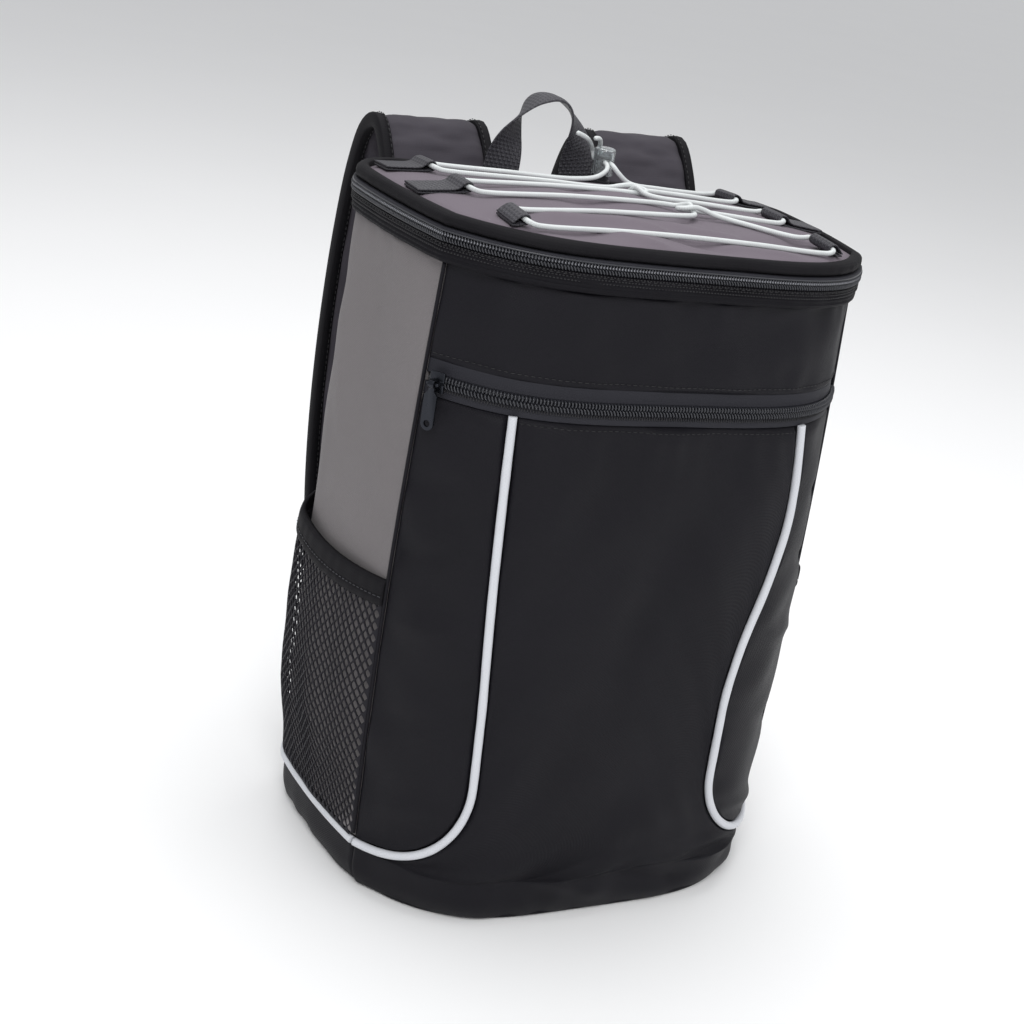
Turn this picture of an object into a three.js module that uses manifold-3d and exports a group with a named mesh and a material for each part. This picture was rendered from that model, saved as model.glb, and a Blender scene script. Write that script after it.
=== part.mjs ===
// A soft insulated backpack that stands on its base: a D-shaped padded body with a zipped lid, a front
// pocket, two mesh side pockets, a laced elastic cord on the lid, a grab handle and two shoulder straps.
// Millimetres. The origin is the middle of the base, +Z is up and the front pocket faces -Y.
// Left and right are as seen from the front, so left is -X.
import * as THREE from 'three';
import { mergeVertices } from 'three/addons/utils/BufferGeometryUtils.js';
import Module from 'manifold-3d';

const wasm = await Module();
wasm.setup();

// Body
const BODY_HEIGHT = 398;
const BASE_DEPTH = 202;
const BACK_Y = BASE_DEPTH / 2;
const SEAM_HALF_TOP = 135;
const SEAM_HALF_FOOT = 142;
const REAR_HALF_TOP = 147;
const REAR_HALF_FOOT = 153;
const SIDE_DEPTH_TOP = 141;
const FRONT_BULGE_TOP = 46;
const FRONT_BULGE_FOOT = 62;
const FRONT_SQUARENESS = 4.2;
const REAR_CORNER = 40;
const BELLY = 5;
const WALL = 6;
const BASE_THICK = 5;
const FOOT_TUCK = 5;
const FOOT_TUCK_HEIGHT = 16;
const LID_SLANT = 0.035;
const GAP = 0.3;
const SEAM_GAP = 0.4;

// Piping: a cord laid in the seams round the front pocket's centre and along the foot of the sides
const PIPING_RADIUS = 2.5;
const PIPING_GAP = 0.5;
const SIDE_PIPING_Z = 32;
const PIPING_CURVE_HEIGHT = 62;
const PIPING_SIDES = 8;
// Where the front piping runs on its way down, as shares of half the front's width
const PIPING_LINE = [
  { height: 1, left: 0.715, right: 0.645 },
  { height: 0.85, left: 0.706, right: 0.67 },
  { height: 0.72, left: 0.697, right: 0.668 },
  { height: 0.56, left: 0.686, right: 0.6 },
  { height: 0.4, left: 0.672, right: 0.51 },
  { height: 0.24, left: 0.657, right: 0.468 },
  { height: 0, left: 0.645, right: 0.478 },
];

// Front pocket zip
const POCKET_ZIP_Z = 333.4;
const POCKET_ZIP_COIL = 6.4;
const POCKET_TAPE_LOWER = 4.9;
const POCKET_TAPE_UPPER = 6.6;
const TAPE_THICK = 2;
const TAPE_SINK = 0.5;
const COIL_RISE = 2;
const SLIDER_WIDTH = 9;
const SLIDER_LENGTH = 12;
const SLIDER_BODY = 1.8;
const SLIDER_SHOULDER = 3;
const SLIDER_SHARE = 0.955;
const BRIDGE_BAR = 1.6;
const BRIDGE_RISE = 6;
const BRIDGE_TAPER = 0.8;
const PULL_LENGTH = 27;
const PULL_WIDTH = 8;
const PULL_THICK = 1.6;
const PULL_NECK = 5;
const PULL_EYE = 2;
const PULL_KNUCKLE_WALL = 1.1;
const PULL_CLEARANCE = 0.35;

// Lid and its rim
const RIM_OUT = 4.5;
const RIM_ROUND = 2.5;
const RIM_BAND_HEIGHT = 10;
const RIM_ZIP_HEIGHT = 5;
const RIM_ZIP_PROUD = 1;
const RIM_ZIP_THICK = 5;
const MAIN_SLIDER_DEPTH = 3.5;
const MAIN_SLIDER_WIDTH = 11;
const MAIN_SLIDER_HEIGHT = 9;
const HINGE_SHARE = 0.98;
const HINGE_THICK = 5;
const LID_BAND_HEIGHT = 9;
const LID_BAND_INSET = 4;
const LID_THICK = 5;
const LID_CROWN = 7;
const LID_CROWN_POWER = 2.5;
const LID_EDGE_DROP = 2;
const LID_RINGS = [1, 0.86, 0.62, 0.32];

// Mesh side pockets
const MESH_TOP = 200;
const MESH_DIP = 6;
const MESH_WALL = 1.6;
const MESH_BULGE = 13;
const MESH_FRONT_RISE = -3;
const MESH_ROUNDNESS = 0.7;
const MESH_SWELL_FOOT = 0.1;
const MESH_SWELL_TOP = 0.72;
const MESH_FOOT_SLOPE = 3;
const BINDING_HEIGHT = 13;
const BINDING_THICK = 2.6;
const BINDING_LEAN = 2;

// Lid cord and the webbing loops that it runs through
const CORD_RADIUS = 1.5;
const LOOP_WIDTH = 22;
const LOOP_THICK = 1.4;
const LOOP_EYE = 3.4;
const LOOP_SEAT = 0.6;
const LOOP_LAYER_GAP = 0.4;
const LOOP_INSET = 1;
const LOOP_ROWS = [
  { name: '1', y: 70, eyeX: 107 },
  { name: '2', y: 14, eyeX: 107 },
  { name: '3', y: -50, eyeX: 101 },
];

// Cord lock, standing on its button at the back of the lid
const LOCK_X = 22;
const LOCK_Y = 88;
const LOCK_RADIUS = 7;
const LOCK_HEIGHT = 17;
const LOCK_BORE = 5;
const LOCK_TOP = 1.8;
const LOCK_EDGE = 1.5;
const LOCK_SEAT = 0.8;
const LOCK_HOLE_Z = 8;
const LOCK_HOLE_CLEARANCE = 0.55;
const LOCK_CORD_SPACING = 3.8;
const LOCK_CLEARANCE = 0.35;
const BUTTON_TRAVEL = 3;
const BUTTON_HEAD = 2.6;
const BUTTON_HEAD_RADIUS = 6;

// Handle and shoulder straps
const WEBBING_WIDTH = 25;
const WEBBING_THICK = 2;
const HANDLE_X = -13;
const HANDLE_HALF_SPAN = 27;
const HANDLE_RISE = 62;
const HANDLE_FOOT_DROP = 4;
// The right half of the handle's arch, as shares of its half span and its rise
const HANDLE_LINE = [
  { across: 0, up: 1 },
  { across: 0.46, up: 0.92 },
  { across: 0.86, up: 0.6 },
  { across: 1, up: 0.25 },
  { across: 1, up: 0 },
];
const SEWN_SEAT = 0.5;
const STRAP_THICK = 12;
const STRAP_EDGE = 3.5;
const STRAP_SEAT = 1;
const STRAP_REACH = 95;
const STRAP_WIDTH_TOP = 74;
const STRAP_WIDTH_END = 56;
const STRAP_X_TOP = 75;
const STRAP_X_END = 90;
// The strap's middle line from its sewn top to its lower end: out is the share of its reach from the
// back, height the share of the body's height
const STRAP_LINE = [
  { out: 0, height: 0.867 },
  { out: 0, height: 0.925 },
  { out: 0.07, height: 0.995 },
  { out: 0.23, height: 1.065 },
  { out: 0.44, height: 1.108 },
  { out: 0.67, height: 1.09 },
  { out: 0.85, height: 1.02 },
  { out: 0.965, height: 0.905 },
  { out: 1, height: 0.754 },
  { out: 0.94, height: 0.59 },
  { out: 0.795, height: 0.44 },
  { out: 0.6, height: 0.327 },
];
const ADJUSTER_WIDTH = 33;
const ADJUSTER_LENGTH = 30;
const ADJUSTER_THICK = 4;
const ADJUSTER_BAR = 4.5;
const ADJUSTER_SIDE = 3.5;
const ADJUSTER_TAPER = 2;
const ADJUSTER_DROP = 9;
const TAIL_LENGTH = 70;
const TAIL_SWAY = 3;
// How the lower webbing leaves the back above the boot, as shares of the webbing's width
const WEBBING_FOOT = [
  { out: 0, up: 0.32 },
  { out: 0.02, up: 0.65 },
  { out: 0.28, up: 1.3 },
];

const LEFT = -1;
const RIGHT = 1;
const part = new THREE.Group();

function finish(color, roughness, metalness = 0) {
  return new THREE.MeshStandardMaterial({ color, roughness, metalness });
}

const blackCloth = finish(0x25232a, 0.85);
const greyCloth = finish(0x767273, 0.9);
const charcoalCloth = finish(0x5c565d, 0.9);
const rimCloth = finish(0x333237, 0.85);
const pipingCord = finish(0xc7c8cb, 0.6);
const zipTape = finish(0x333339, 0.85);
const zipCoil = finish(0x232327, 0.5);
const zipMetal = finish(0x2b2c30, 0.35, 0.7);
const netting = finish(0x39373c, 0.8);
const bindingTape = finish(0x262428, 0.8);
const webbing = finish(0x323137, 0.8);
const elasticCord = finish(0xd2d5d6, 0.6);
const clearPlastic = finish(0xc9ced0, 0.25);
const darkPlastic = finish(0x26272b, 0.45);
const strapCloth = finish(0x4a464c, 0.9);

function add(name, geometry, material) {
  const mesh = new THREE.Mesh(geometry, material);
  mesh.name = name;
  part.add(mesh);
  return mesh;
}

// A closed solid from points and triangles, turned the right way out by its own volume
function solid(points, faces) {
  const origin = points[0];
  const volume = faces.reduce((sum, [a, b, c]) => {
    const edge = points[a].clone().sub(origin);
    return sum + edge.dot(points[b].clone().sub(origin).cross(points[c].clone().sub(origin)));
  }, 0);
  const ordered = volume < 0 ? faces.map(([a, b, c]) => [a, c, b]) : faces;
  const geometry = new THREE.BufferGeometry().setFromPoints(points);
  geometry.setIndex(ordered.flat());
  geometry.computeVertexNormals();
  return geometry;
}

function quad(faces, a, b, c, d) {
  faces.push([a, b, c], [a, c, d]);
}

// A sheet with thickness: rows of outer points, rows of inner points, and walls round the four edges
function sheetSolid(outer, inner) {
  const rows = outer.length;
  const cols = outer[0].length;
  const right = cols - 1;
  const top = rows - 1;
  const points = [...outer.flat(), ...inner.flat()];
  const at = (side, row, col) => (side * rows + row) * cols + col;
  const faces = [];
  for (let row = 0; row < top; row += 1) {
    for (let col = 0; col < right; col += 1) {
      quad(faces, at(0, row, col), at(0, row, col + 1), at(0, row + 1, col + 1), at(0, row + 1, col));
      quad(faces, at(1, row, col), at(1, row + 1, col), at(1, row + 1, col + 1), at(1, row, col + 1));
    }
    quad(faces, at(0, row, 0), at(0, row + 1, 0), at(1, row + 1, 0), at(1, row, 0));
    quad(faces, at(0, row, right), at(1, row, right), at(1, row + 1, right), at(0, row + 1, right));
  }
  for (let col = 0; col < right; col += 1) {
    quad(faces, at(0, 0, col), at(1, 0, col), at(1, 0, col + 1), at(0, 0, col + 1));
    quad(faces, at(0, top, col), at(0, top, col + 1), at(1, top, col + 1), at(1, top, col));
  }
  return solid(points, faces);
}

// A solid through a row of closed sections, joined end to end as a ring or closed by two flat caps
function loftSolid(sections, ring = false) {
  const count = sections.length;
  const around = sections[0].length;
  const faces = [];
  for (let i = 0; i < (ring ? count : count - 1); i += 1) {
    for (let j = 0; j < around; j += 1) {
      const next = ((i + 1) % count) * around;
      const side = (j + 1) % around;
      quad(faces, i * around + j, i * around + side, next + side, next + j);
    }
  }
  if (!ring) {
    for (let j = 1; j < around - 1; j += 1) {
      faces.push([0, j + 1, j]);
      const last = (count - 1) * around;
      faces.push([last, last + j, last + j + 1]);
    }
  }
  return solid(sections.flat(), faces);
}

function spread(count, from, to) {
  return Array.from({ length: count + 1 }, (_, i) => from + ((to - from) * i) / count);
}

// Columns that every sheet on the sides and on the front shares, so that neighbours have the same facets
const FRONT_COLUMNS = 12;
const FRONT_EASING = 1.35;
const FOOT_ROWS = [0, 0.25, 0.55, 1].map((share) => share * FOOT_TUCK_HEIGHT);
const SIDE_CORNER_SHARE = 0.36;
const SIDE_COLUMNS = [...spread(4, 0, SIDE_CORNER_SHARE), 0.52, 0.68, 0.84, 1];
const MESH_REAR = SIDE_COLUMNS[1];

// The plan of the body at a height, drawn in by a depth below the outer face
const { lerp, clamp } = THREE.MathUtils;

function plan(z, depth) {
  const share = z / BODY_HEIGHT;
  const tuck = FOOT_TUCK * Math.max(0, 1 - z / FOOT_TUCK_HEIGHT) ** 2;
  const backInset = depth + tuck;
  const inset = backInset - BELLY * Math.sin(Math.PI * clamp(share, 0, 1));
  const sideDepth = lerp(BASE_DEPTH - FRONT_BULGE_FOOT, SIDE_DEPTH_TOP, share);
  const bulge = lerp(FRONT_BULGE_FOOT, FRONT_BULGE_TOP, share);
  const seamHalf = lerp(SEAM_HALF_FOOT, SEAM_HALF_TOP, share);
  const slope = (bulge * FRONT_SQUARENESS) / seamHalf;
  const mitre = Math.sqrt(1 + slope * slope) - slope;
  return {
    z,
    backInset,
    inset,
    seamHalf: seamHalf - inset,
    rearHalf: lerp(REAR_HALF_FOOT, REAR_HALF_TOP, share) - inset,
    seamY: BACK_Y - sideDepth + mitre * inset,
    bulge: bulge - (1 - mitre) * inset,
  };
}

// The soft top slants: it stands a little higher on the left
function place(x, y, z) {
  return new THREE.Vector3(x, y, z - LID_SLANT * x * (z / BODY_HEIGHT) ** 2);
}

// Front: f runs from -1 at the left side seam to 1 at the right one
function frontPoint(f, z, depth) {
  const p = plan(z, depth);
  const y = p.seamY - p.bulge * (1 - Math.abs(f) ** FRONT_SQUARENESS);
  return place(f * p.seamHalf, y, z);
}

// Side: t runs from 0 at the back seam, round the rear corner, to 1 at the side seam
function sidePoint(side, t, z, depth) {
  const p = plan(z, depth);
  const cornerY = BACK_Y - REAR_CORNER;
  if (t < SIDE_CORNER_SHARE) {
    const angle = ((t / SIDE_CORNER_SHARE) * Math.PI) / 2;
    const radiusX = REAR_CORNER - p.inset;
    const centreX = p.rearHalf - radiusX;
    const y = cornerY + (REAR_CORNER - p.backInset) * Math.cos(angle);
    return place(side * (centreX + radiusX * Math.sin(angle)), y, z);
  }
  const k = (t - SIDE_CORNER_SHARE) / (1 - SIDE_CORNER_SHARE);
  return place(side * lerp(p.rearHalf, p.seamHalf, k * k), lerp(cornerY, p.seamY, k), z);
}

// Back: b runs from -1 to 1 between the two rear corners
function backPoint(b, z, depth) {
  const p = plan(z, depth);
  return place(b * (p.rearHalf - (REAR_CORNER - p.inset)), BACK_Y - p.backInset, z);
}

// Lengths along each face, to turn a gap in millimetres into a share
const SIDE_LENGTH = (SIDE_DEPTH_TOP - REAR_CORNER) / (1 - SIDE_CORNER_SHARE);
const SIDE_EDGE = SEAM_GAP / 2 / SIDE_LENGTH;
const BACK_EDGE = SEAM_GAP / 2 / (REAR_HALF_TOP - REAR_CORNER);

function frontStretch(f, z) {
  const p = plan(z, 0);
  const slope = (p.bulge * FRONT_SQUARENESS * Math.abs(f) ** (FRONT_SQUARENESS - 1)) / p.seamHalf;
  return p.seamHalf * Math.sqrt(1 + slope * slope);
}

const FRONT_EDGE = SEAM_GAP / 2 / frontStretch(1, BODY_HEIGHT);

// Columns of the front, closer together where it turns into the sides
function frontColumns(limitLeft = 1 - FRONT_EDGE, limitRight = limitLeft) {
  return spread(FRONT_COLUMNS, -1, 1).map((u) => {
    const eased = Math.sin(u * FRONT_EASING) / Math.sin(FRONT_EASING);
    return eased * (u < 0 ? limitLeft : limitRight);
  });
}

function frontSheet(heights, columns, outerDepth, innerDepth) {
  const rows = (depth) => heights.map((z) => columns.map((f) => frontPoint(f, z, depth)));
  return sheetSolid(rows(outerDepth), rows(innerDepth));
}

function sideSheet(side, heights, columns, outerDepth, innerDepth) {
  const rows = (depth) => heights.map((z) => columns.map((t) => sidePoint(side, t, z, depth)));
  return sheetSolid(rows(outerDepth), rows(innerDepth));
}

// The whole outline at one height as a closed loop of points
function outline(z, depth) {
  const back = spread(3, 1, -1).map((b) => backPoint(b, z, depth));
  const left = SIDE_COLUMNS.slice(1).map((t) => sidePoint(LEFT, t, z, depth));
  const front = frontColumns(1).slice(1).map((f) => frontPoint(f, z, depth));
  const right = [...SIDE_COLUMNS].reverse().slice(1, -1).map((t) => sidePoint(RIGHT, t, z, depth));
  return [...back, ...left, ...front, ...right];
}

// A ring that follows the outline, with a profile of depths and heights
function outlineRing(profile) {
  const loops = profile.map(([depth, z]) => outline(z, depth));
  return loftSolid(loops[0].map((_, i) => loops.map((loop) => loop[i])), true);
}

// Front piping: a smooth line down the front that turns out to the side seam in a quarter ellipse.
// It is worked out as a row of stations, each with its share of the front, its height and its normal.
const POCKET_TOP = POCKET_ZIP_Z - POCKET_ZIP_COIL / 2 - POCKET_TAPE_LOWER - GAP * 2;
const PIPING_CURVE_Z = SIDE_PIPING_Z + PIPING_CURVE_HEIGHT;

function pipingShare(column, z) {
  const height = clamp((z - PIPING_CURVE_Z) / (POCKET_TOP - PIPING_CURVE_Z), 0, 1);
  const line = [...PIPING_LINE].reverse();
  const upper = line.findIndex((row) => row.height >= height);
  const low = line[Math.max(0, upper - 1)];
  const high = line[Math.max(1, upper)];
  return lerp(low[column], high[column], (height - low.height) / (high.height - low.height));
}

function pipingStations(side) {
  const column = side === LEFT ? 'left' : 'right';
  const straight = spread(7, POCKET_TOP, PIPING_CURVE_Z).map((z) => ({ f: pipingShare(column, z), z }));
  const start = straight[straight.length - 1].f;
  const turn = spread(9, 0, Math.PI / 2).slice(1).map((angle) => ({
    f: 1 - (1 - start) * Math.cos(angle),
    z: PIPING_CURVE_Z - PIPING_CURVE_HEIGHT * Math.sin(angle),
  }));
  const line = [...straight, ...turn];
  return line.map((station, i) => {
    const before = line[Math.max(0, i - 1)];
    const after = line[Math.min(line.length - 1, i + 1)];
    const stretch = frontStretch(station.f, station.z);
    const run = (after.f - before.f) * stretch;
    const rise = after.z - before.z;
    const length = Math.hypot(run, rise);
    return { ...station, stretch, outF: -rise / length, outZ: run / length };
  });
}

// A station moved out (towards the side) or in (towards the middle) by a distance in millimetres
function beside(station, distance) {
  return {
    f: station.f + (distance * station.outF) / station.stretch,
    z: station.z + distance * station.outZ,
  };
}

const leftStations = pipingStations(LEFT);
const rightStations = pipingStations(RIGHT);
const PIPING_SEAT = PIPING_RADIUS + PIPING_GAP;

function buildFrontPocket() {
  const rim = leftStations.map((_, i) => ({
    left: beside(leftStations[i], -PIPING_SEAT),
    right: beside(rightStations[i], -PIPING_SEAT),
  })).reverse();
  const seamRow = rim[0];
  const footRows = FOOT_ROWS.map((z) => ({ left: { f: 1, z }, right: { f: 1, z } }));
  const rows = [...footRows, seamRow, ...rim.slice(1)];
  const limit = (share) => Math.min(share, 1 - FRONT_EDGE);
  const grid = (depth) => rows.map(({ left, right }) => (
    frontColumns(limit(left.f), limit(right.f)).map((f, col) => {
      const z = lerp(left.z, right.z, col / FRONT_COLUMNS);
      return frontPoint(f, Math.min(z, POCKET_TOP), depth);
    })));
  add('front_pocket_panel', sheetSolid(grid(0), grid(WALL)), blackCloth);
}

function buildFrontCorner(side, name) {
  const stations = side === LEFT ? leftStations : rightStations;
  const narrowest = 2;
  const rows = stations.map((station) => beside(station, PIPING_SEAT))
    .filter(({ f, z }) => (1 - f) * frontStretch(f, z) > narrowest);
  const grid = (depth) => rows.map(({ f, z }) => (
    spread(3, f, 1 - FRONT_EDGE).map((share) => frontPoint(side * share, Math.min(z, POCKET_TOP), depth))));
  add(name, sheetSolid(grid(0), grid(WALL)), blackCloth);
}

// A smooth curve through its points, stepped evenly from point to point
class Route extends THREE.CatmullRomCurve3 {
  getPointAt(share, target) {
    return this.getPoint(share, target);
  }

  getTangentAt(share, target) {
    return this.getTangent(share, target);
  }
}

function tube(points, radius, sides, stepsPerPoint = 1) {
  const section = new THREE.Shape(spread(sides, 0, 2 * Math.PI).slice(1)
    .map((angle) => new THREE.Vector2(radius * Math.cos(angle), radius * Math.sin(angle))));
  const steps = (points.length - 1) * stepsPerPoint;
  return new THREE.ExtrudeGeometry(section, { steps, extrudePath: new Route(points), bevelEnabled: false });
}

const PIPING_SINK = 0.4;
const PIPING_SETBACK = 1.2;

function buildPiping() {
  const frontLine = (stations, side) => {
    const line = stations.map(({ f, z }) => ({ f, z }));
    line[0].z -= GAP;
    line[line.length - 1].f = 1 - PIPING_SETBACK / frontStretch(1, SIDE_PIPING_Z);
    return line.map(({ f, z }) => frontPoint(side * f, z, -PIPING_SINK));
  };
  const setback = PIPING_SETBACK / SIDE_LENGTH;
  const sideLine = (side) => spread(12, setback, 1 - setback)
    .map((t) => sidePoint(side, t, SIDE_PIPING_Z, -PIPING_SINK));
  add('front_piping_left', tube(frontLine(leftStations, LEFT), PIPING_RADIUS, PIPING_SIDES), pipingCord);
  add('front_piping_right', tube(frontLine(rightStations, RIGHT), PIPING_RADIUS, PIPING_SIDES), pipingCord);
  add('side_piping_left', tube(sideLine(LEFT), PIPING_RADIUS, PIPING_SIDES), pipingCord);
  add('side_piping_right', tube(sideLine(RIGHT), PIPING_RADIUS, PIPING_SIDES), pipingCord);
}

const BOOT_TOP = SIDE_PIPING_Z - PIPING_SEAT;

function buildShell() {
  const tapeTop = POCKET_ZIP_Z + POCKET_ZIP_COIL / 2 + POCKET_TAPE_UPPER + GAP;
  const upperRows = spread(2, tapeTop + GAP, BODY_HEIGHT);
  add('front_upper_panel', frontSheet(upperRows, frontColumns(), 0, WALL), blackCloth);
  const sideRows = spread(6, SIDE_PIPING_Z + PIPING_SEAT, BODY_HEIGHT);
  const columns = SIDE_COLUMNS.map((t) => clamp(t, SIDE_EDGE, 1 - SIDE_EDGE));
  add('side_panel_left', sideSheet(LEFT, sideRows, columns, 0, WALL), greyCloth);
  add('side_panel_right', sideSheet(RIGHT, sideRows, columns, 0, WALL), greyCloth);
  const backRows = spread(5, BOOT_TOP + GAP, BODY_HEIGHT);
  const backColumns = spread(4, -1 + BACK_EDGE, 1 - BACK_EDGE);
  const backGrid = (depth) => backRows.map((z) => backColumns.map((b) => backPoint(b, z, depth)));
  add('back_panel', sheetSolid(backGrid(0), backGrid(WALL)), blackCloth);
  add('base_boot', buildBoot(), blackCloth);
  const floor = (z) => outline(0, WALL + 2 * GAP).map((point) => point.setZ(z));
  add('base_panel', loftSolid([floor(0), floor(BASE_THICK)]), blackCloth);
}

// The boot wraps the foot of both sides and the back in one strip
function buildBoot() {
  const columns = SIDE_COLUMNS.map((t) => Math.min(t, 1 - SIDE_EDGE));
  const strip = (depth) => [...FOOT_ROWS, BOOT_TOP].map((z) => [
    ...[...columns].reverse().map((t) => sidePoint(LEFT, t, z, depth)),
    ...spread(3, -1, 1).slice(1, -1).map((b) => backPoint(b, z, depth)),
    ...columns.map((t) => sidePoint(RIGHT, t, z, depth)),
  ]);
  return sheetSolid(strip(0), strip(WALL));
}

// Front pocket zip: two tapes and the coil between them, from side seam to side seam
function buildPocketZip() {
  const coilLow = POCKET_ZIP_Z - POCKET_ZIP_COIL / 2;
  const coilHigh = POCKET_ZIP_Z + POCKET_ZIP_COIL / 2;
  const columns = frontColumns();
  const lower = [coilLow - GAP - POCKET_TAPE_LOWER, coilLow - GAP];
  const upper = [coilHigh + GAP, coilHigh + GAP + POCKET_TAPE_UPPER];
  add('pocket_zip_tape_lower', frontSheet(lower, columns, TAPE_SINK, TAPE_SINK + TAPE_THICK), zipTape);
  add('pocket_zip_tape_upper', frontSheet(upper, columns, TAPE_SINK, TAPE_SINK + TAPE_THICK), zipTape);
  add('pocket_zip_coil', frontSheet([coilLow, coilHigh], columns, -COIL_RISE, TAPE_THICK), zipCoil);
}

// The slider and its pull share a local frame on the coil: x along the zip, y out of the face, z up
const SLIDER_FACE = COIL_RISE + GAP;
const BRIDGE_OUT = SLIDER_FACE + BRIDGE_RISE;
const BRIDGE_INNER = SLIDER_WIDTH / 2 - BRIDGE_TAPER - BRIDGE_BAR;

function sliderFrame() {
  const here = frontPoint(-SLIDER_SHARE, POCKET_ZIP_Z, 0);
  const ahead = frontPoint(-SLIDER_SHARE + FRONT_EDGE, POCKET_ZIP_Z, 0);
  const along = ahead.sub(here).setZ(0).normalize();
  const frame = new THREE.Group();
  frame.position.copy(here);
  frame.rotation.z = Math.atan2(along.y, along.x);
  part.add(frame);
  return frame;
}

function polygon(points) {
  return new THREE.Shape(points.map(([x, y]) => new THREE.Vector2(x, y)));
}

function plateOf(shape, depth) {
  const geometry = new THREE.ExtrudeGeometry(shape, { depth, bevelEnabled: false, curveSegments: 8 });
  geometry.translate(0, 0, -depth / 2);
  return geometry;
}

// The slider's section across the zip is drawn with y out of the face, and out of the face is -y of the
// local frame, so the joined solid is turned over at the end
function buildSlider(frame) {
  const half = SLIDER_WIDTH / 2;
  const shoulder = SLIDER_FACE + SLIDER_SHOULDER;
  const bodyTop = SLIDER_FACE + SLIDER_BODY;
  const top = BRIDGE_OUT + BRIDGE_BAR / 2;
  const archTop = BRIDGE_OUT - BRIDGE_BAR / 2;
  const bridge = polygon([[-half, SLIDER_FACE], [half, SLIDER_FACE], [half, shoulder],
    [half - BRIDGE_TAPER, top], [-half + BRIDGE_TAPER, top], [-half, shoulder]]);
  bridge.holes.push(polygon([[-BRIDGE_INNER, bodyTop], [BRIDGE_INNER, bodyTop],
    [BRIDGE_INNER, archTop], [-BRIDGE_INNER, archTop]]));
  const body = new THREE.BoxGeometry(SLIDER_WIDTH, SLIDER_BODY, SLIDER_LENGTH);
  body.translate(0, SLIDER_FACE + SLIDER_BODY / 2, 0);
  const joined = toGeometry(toSolid(plateOf(bridge, BRIDGE_BAR)).add(toSolid(body)));
  joined.rotateX(Math.PI);
  frame.add(add('pocket_zip_slider', joined, zipMetal));
}

// The pull hangs from a knuckle round the bridge bar
function buildPull(frame) {
  const hole = Math.hypot(BRIDGE_BAR, BRIDGE_BAR) / 2 + PULL_CLEARANCE;
  const knuckleHalf = BRIDGE_INNER - PULL_CLEARANCE;
  const ring = new THREE.Shape(circlePoints(hole + PULL_KNUCKLE_WALL, 12));
  ring.holes.push(new THREE.Path(circlePoints(hole, 12)));
  const knuckle = plateOf(ring, 2 * knuckleHalf);
  knuckle.rotateY(Math.PI / 2);
  const top = -hole - PULL_KNUCKLE_WALL / 2;
  const neck = -hole - PULL_NECK;
  const half = PULL_WIDTH / 2;
  const round = -PULL_LENGTH + half;
  const plate = polygon([[half, round], [half, neck], [knuckleHalf, neck + PULL_NECK / 2],
    [knuckleHalf, top], [-knuckleHalf, top], [-knuckleHalf, neck + PULL_NECK / 2], [-half, neck],
    [-half, round]]);
  plate.absarc(0, round, half, Math.PI, 2 * Math.PI, false);
  const eye = circlePoints(PULL_EYE, 10).map((point) => point.add(new THREE.Vector2(0, round)));
  plate.holes.push(new THREE.Path(eye));
  const blade = plateOf(plate, PULL_THICK);
  blade.rotateX(Math.PI / 2);
  const joined = toGeometry(toSolid(knuckle).add(toSolid(blade)));
  joined.translate(0, -BRIDGE_OUT, 0);
  frame.add(add('pocket_zip_pull', joined, zipMetal));
}

function circlePoints(radius, sides) {
  return spread(sides, 0, 2 * Math.PI).slice(1)
    .map((angle) => new THREE.Vector2(radius * Math.cos(angle), radius * Math.sin(angle)));
}

function toSolid(geometry) {
  const bare = geometry.clone();
  bare.deleteAttribute('normal');
  bare.deleteAttribute('uv');
  const merged = mergeVertices(bare, 1e-4);
  return new wasm.Manifold(new wasm.Mesh({
    numProp: 3,
    vertProperties: new Float32Array(merged.attributes.position.array),
    triVerts: new Uint32Array(merged.index.array),
  }));
}

function toGeometry(body) {
  const mesh = body.getMesh();
  const geometry = new THREE.BufferGeometry();
  geometry.setAttribute('position', new THREE.BufferAttribute(mesh.vertProperties, 3));
  geometry.setIndex(new THREE.BufferAttribute(mesh.triVerts, 1));
  geometry.computeVertexNormals();
  return geometry;
}

// Rim: the fixed band, the zip on it and the lid's band over the zip
const RIM_ZIP_Z = BODY_HEIGHT + RIM_BAND_HEIGHT + GAP * 2;
const LID_BAND_Z = RIM_ZIP_Z + RIM_ZIP_HEIGHT + GAP;
const LID_TOP_Z = LID_BAND_Z + LID_BAND_HEIGHT;
const ZIP_REAR = 0.2;
const RIM_ZIP_ROWS = [RIM_ZIP_Z, RIM_ZIP_Z + RIM_ZIP_HEIGHT];
const RIM_ZIP_FACE = -RIM_OUT - RIM_ZIP_PROUD;

function buildRim() {
  const low = BODY_HEIGHT + GAP;
  const high = low + RIM_BAND_HEIGHT;
  const face = -RIM_OUT;
  const fixed = [[WALL, low], [face + RIM_ROUND, low], [face, low + RIM_ROUND], [face, high - RIM_ROUND],
    [face + RIM_ROUND, high], [WALL, high]];
  add('rim_band', outlineRing(fixed), rimCloth);
  const lid = [[LID_BAND_INSET, LID_BAND_Z], [face + RIM_ROUND, LID_BAND_Z],
    [face, LID_BAND_Z + RIM_ROUND], [face + RIM_ROUND / 2, LID_TOP_Z - RIM_ROUND], [0, LID_TOP_Z],
    [LID_BAND_INSET, LID_TOP_Z - LID_EDGE_DROP / 2]];
  add('lid_band', outlineRing(lid), rimCloth);
  add('rim_zip', buildRimZip(), zipCoil);
  const hingeOut = face + RIM_ROUND / 2;
  const hinge = (depth) => RIM_ZIP_ROWS.map((z) => (
    spread(2, -HINGE_SHARE, HINGE_SHARE).map((b) => backPoint(b, z, depth))));
  add('lid_hinge', sheetSolid(hinge(hingeOut), hinge(hingeOut + HINGE_THICK)), rimCloth);
}

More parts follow.
